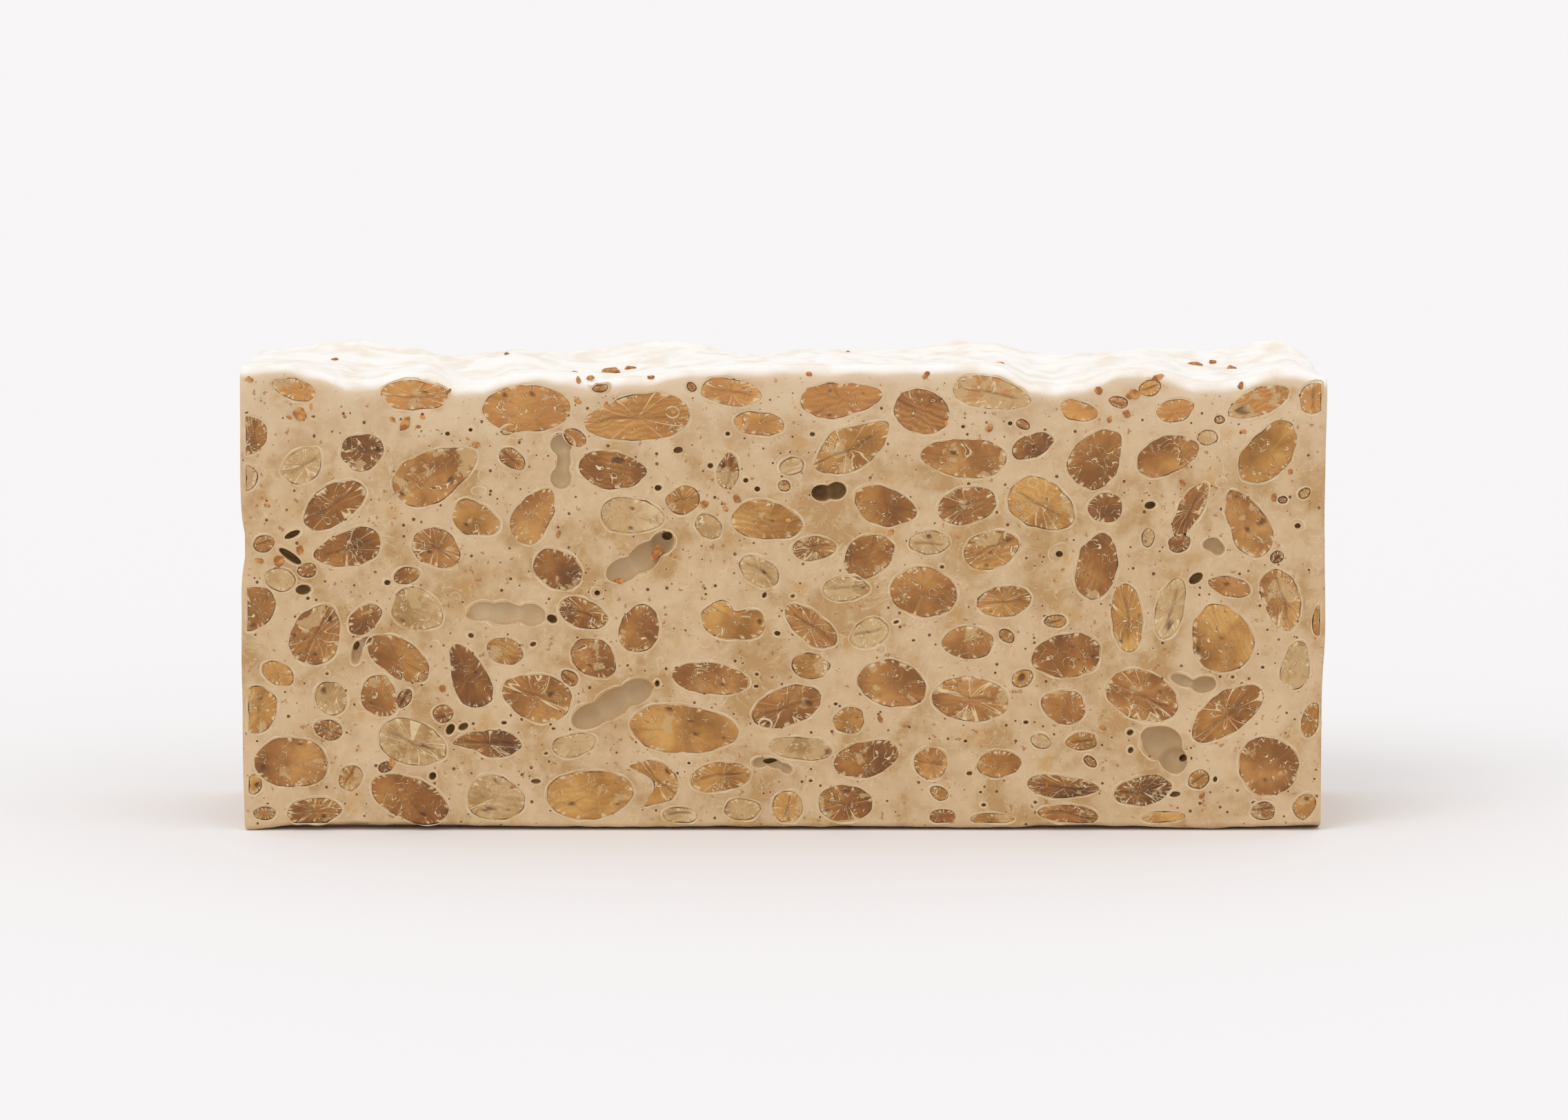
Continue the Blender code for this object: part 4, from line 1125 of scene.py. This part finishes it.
class NOUGAT_OT_crumbs(bpy.types.Operator):
    """Model the crumbs of kernel sunk in the front and in the skin"""

    bl_idname = "nougat.crumbs"
    bl_label = "Crumbs"

    def execute(self, context):
        chance = random.Random(21)
        tree = cad_tree()
        made = []
        spots = [(Vector((x * MM, LOW.y + 0.1 * MM, z * MM)), size, "front") for x, z, size in CRUMBS]
        for x, y, size in SKIN_CRUMBS:
            spots.append((Vector((x * MM, y * MM, cad_top(tree, x * MM, y * MM) - 0.4 * MM)), size, "top"))
        for number, (spot, size, where) in enumerate(spots):
            bpy.ops.mesh.primitive_ico_sphere_add(subdivisions=3, radius=size / 2 * MM, location=(0, 0, 0))
            crumb = context.object
            long, wide = chance.uniform(0.9, 1.3), chance.uniform(0.55, 0.9)
            turn = chance.uniform(0, math.pi)
            for vert in crumb.data.vertices:
                lump = 1 + 0.45 * noise.noise(vert.co / (size * 0.4 * MM) + Vector((number * 5.0, 0, 0)))
                a, b, c = vert.co * lump
                a, b, c = a * long, b * wide, min(c * 0.4, 0.22 * MM if where == "front" else 1 * MM)
                a, b = a * math.cos(turn) - b * math.sin(turn), a * math.sin(turn) + b * math.cos(turn)
                vert.co = spot + (Vector((a, -c, b)) if where == "front" else Vector((a, b, c)))
            made.append(crumb)
        bpy.ops.object.select_all(action="DESELECT")
        for crumb in made:
            crumb.select_set(True)
        context.view_layer.objects.active = made[0]
        bpy.ops.object.join()
        crumbs = context.object
        crumbs.name = "kernel_crumbs"
        crumbs.data.shade_smooth()
        crumbs.data.materials.append(bpy.data.materials["kernel crumb"])
        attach(crumbs, BODY)
        return {"FINISHED"}


class NOUGAT_OT_other_kernels(bpy.types.Operator):
    """Model the cut kernels of the bar's back and ends, joined by how roasted they are"""

    bl_idname = "nougat.other_kernels"
    bl_label = "Back and end kernels"

    def execute(self, context):
        unit = add_unit_kernel("unit_back_kernel", 48)
        width, depth, height = ((HIGH[k] - LOW[k]) / MM for k in range(3))
        sizes = ((17, 400), (15, 500), (13, 700), (11, 900), (9, 900), (7, 1200), (5, 900), (3.4, 500))
        spots = []
        for face, seed, across in (("back", 5, width), ("left", 8, depth), ("right", 11, depth)):
            hollows = [blob[:5] for blob in SIDE_POCKETS[face]]
            found = scattered(seed, across, height - 4, sizes, 0.9, hollows)
            spots += [(face, spot) for spot in found]
            pores = scattered(seed + 1, across, height - 3, ((2.0, 90), (1.2, 160)), 0.4, hollows + found)
            # These pores get walls of painted shade too.
            cut_blobs("pore_cutter", [(*pore, 0.9 * pore[3]) for pore in pores], "shaded pore wall", 0, face)
            cut_blobs("pocket_cutter", SIDE_POCKETS[face], "bubble wall", 0.45 * MM, face)
        chance = random.Random(3)
        shapes = {roast: [] for roast in TONES}
        outlines = [(face, oval(spot, 300.5 + number)) for number, (face, spot) in enumerate(spots)]
        cut_seats(outlines, PIECE_DEPTH, 32)
        add_lips("other_lips", outlines, 40)
        for number, (face, outline) in enumerate(outlines):
            seed = 300.5 + number
            roast = chance.choice(("dark", "brown", "brown", "tan", "tan", "golden", "golden", "pale"))
            shapes[roast].append(shaped_kernel(unit, face, outline, look_of(seed, chance.random() * 0.7),
                                               seed, PIECE_DEPTH, context.scene.nougat.relief))
        for roast in TONES:
            piece = joined_kernels(f"other_kernels_{roast}", unit, shapes[roast],
                                   bpy.data.materials[f"roasted kernel {roast}"])
            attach(piece, BODY)
        bpy.data.objects.remove(unit)
        return {"FINISHED"}


class NOUGAT_OT_stage(bpy.types.Operator):
    """Set the plain pale floor, the soft lamps and the camera"""

    bl_idname = "nougat.stage"
    bl_label = "Stage"

    def execute(self, context):
        scene = context.scene
        scene.view_settings.view_transform = "Standard"
        bpy.ops.object.select_all(action="DESELECT")
        bpy.ops.mesh.primitive_plane_add(size=6, location=(0, 0, LOW.z))
        floor = context.object
        floor.name = "floor"
        material, tree, shader = new_material("studio floor")
        shader.inputs["Base Color"].default_value = linear("floor")
        shader.inputs["Roughness"].default_value = 0.9
        shader.inputs["Specular IOR Level"].default_value = 0.1
        floor.data.materials.append(material)
        world = bpy.data.worlds.new("studio")
        scene.world = world
        world.use_nodes = True
        nodes = world.node_tree
        plain = nodes.nodes["Background"]
        plain.inputs["Color"].default_value = (1, 1, 1, 1)
        plain.inputs["Strength"].default_value = 0.84
        seen = add(nodes, "ShaderNodeBackground", {"Color": linear("backdrop"), "Strength": 1.0})
        path = add(nodes, "ShaderNodeLightPath")
        shown = add(nodes, "ShaderNodeMath", {
            0: path.outputs["Is Camera Ray"], 1: path.outputs["Is Glossy Ray"]}, operation="MAXIMUM")
        shown = add(nodes, "ShaderNodeMath", {
            0: shown.outputs[0], 1: path.outputs["Is Transmission Ray"]}, operation="MAXIMUM")
        mixed = add(nodes, "ShaderNodeMixShader", {
            0: shown.outputs[0], 1: plain.outputs[0], 2: seen.outputs[0]})
        nodes.links.new(mixed.outputs[0], nodes.nodes["World Output"].inputs["Surface"])
        for name, place, strength, spread in (
            ("key", (-0.55, -0.75, 1.0), 0.62, 35), ("fill", (0.8, -0.7, 0.8), 0.18, 50)):
            lamp = bpy.data.lights.new(name, "SUN")
            lamp.energy = strength
            lamp.angle = math.radians(spread)
            obj = bpy.data.objects.new(name, lamp)
            obj.location = place
            obj.rotation_euler = (-Vector(place)).to_track_quat("-Z", "Y").to_euler()
            scene.collection.objects.link(obj)
        camera = bpy.data.cameras.new("camera")
        camera.sensor_width = 36
        distance, raised, across = 1.4, math.radians(7.1), 0.2877
        camera.lens = camera.sensor_width * distance / across
        eye = bpy.data.objects.new("camera", camera)
        target = Vector((0, LOW.y, 50.3 * MM))
        eye.location = target + Vector((0, -math.cos(raised), math.sin(raised))) * distance
        eye.rotation_euler = (target - eye.location).to_track_quat("-Z", "Y").to_euler()
        scene.collection.objects.link(eye)
        scene.camera = eye
        return {"FINISHED"}


class NOUGAT_PT_panel(bpy.types.Panel):
    """The steps that make the bar"""

    bl_idname = "NOUGAT_PT_panel"
    bl_label = "Nougat Bar"
    bl_space_type = "VIEW_3D"
    bl_region_type = "UI"
    bl_category = "Nougat"

    def draw(self, context):
        settings = context.scene.nougat
        for name in ("lump", "round_off", "relief", "matrix", "skin"):
            self.layout.prop(settings, name)
        for operator in STEPS:
            self.layout.operator(operator.bl_idname)


STEPS = (
    NOUGAT_OT_materials, NOUGAT_OT_bar, NOUGAT_OT_pockets, NOUGAT_OT_front_kernels,
    NOUGAT_OT_small_kernels, NOUGAT_OT_crumbs, NOUGAT_OT_other_kernels, NOUGAT_OT_stage,
)
CLASSES = (NougatSettings, *STEPS, NOUGAT_PT_panel)


def register():
    for cls in CLASSES:
        bpy.utils.register_class(cls)
    bpy.types.Scene.nougat = bpy.props.PointerProperty(type=NougatSettings)


def unregister():
    del bpy.types.Scene.nougat
    for cls in reversed(CLASSES):
        bpy.utils.unregister_class(cls)


def main():
    register()
    bpy.ops.nougat.materials()
    bpy.ops.nougat.bar()
    bpy.ops.nougat.pockets()
    bpy.ops.nougat.front_kernels()
    bpy.ops.nougat.small_kernels()
    bpy.ops.nougat.crumbs()
    bpy.ops.nougat.other_kernels()
    bpy.ops.nougat.stage()


if __name__ == "__main__":
    main()
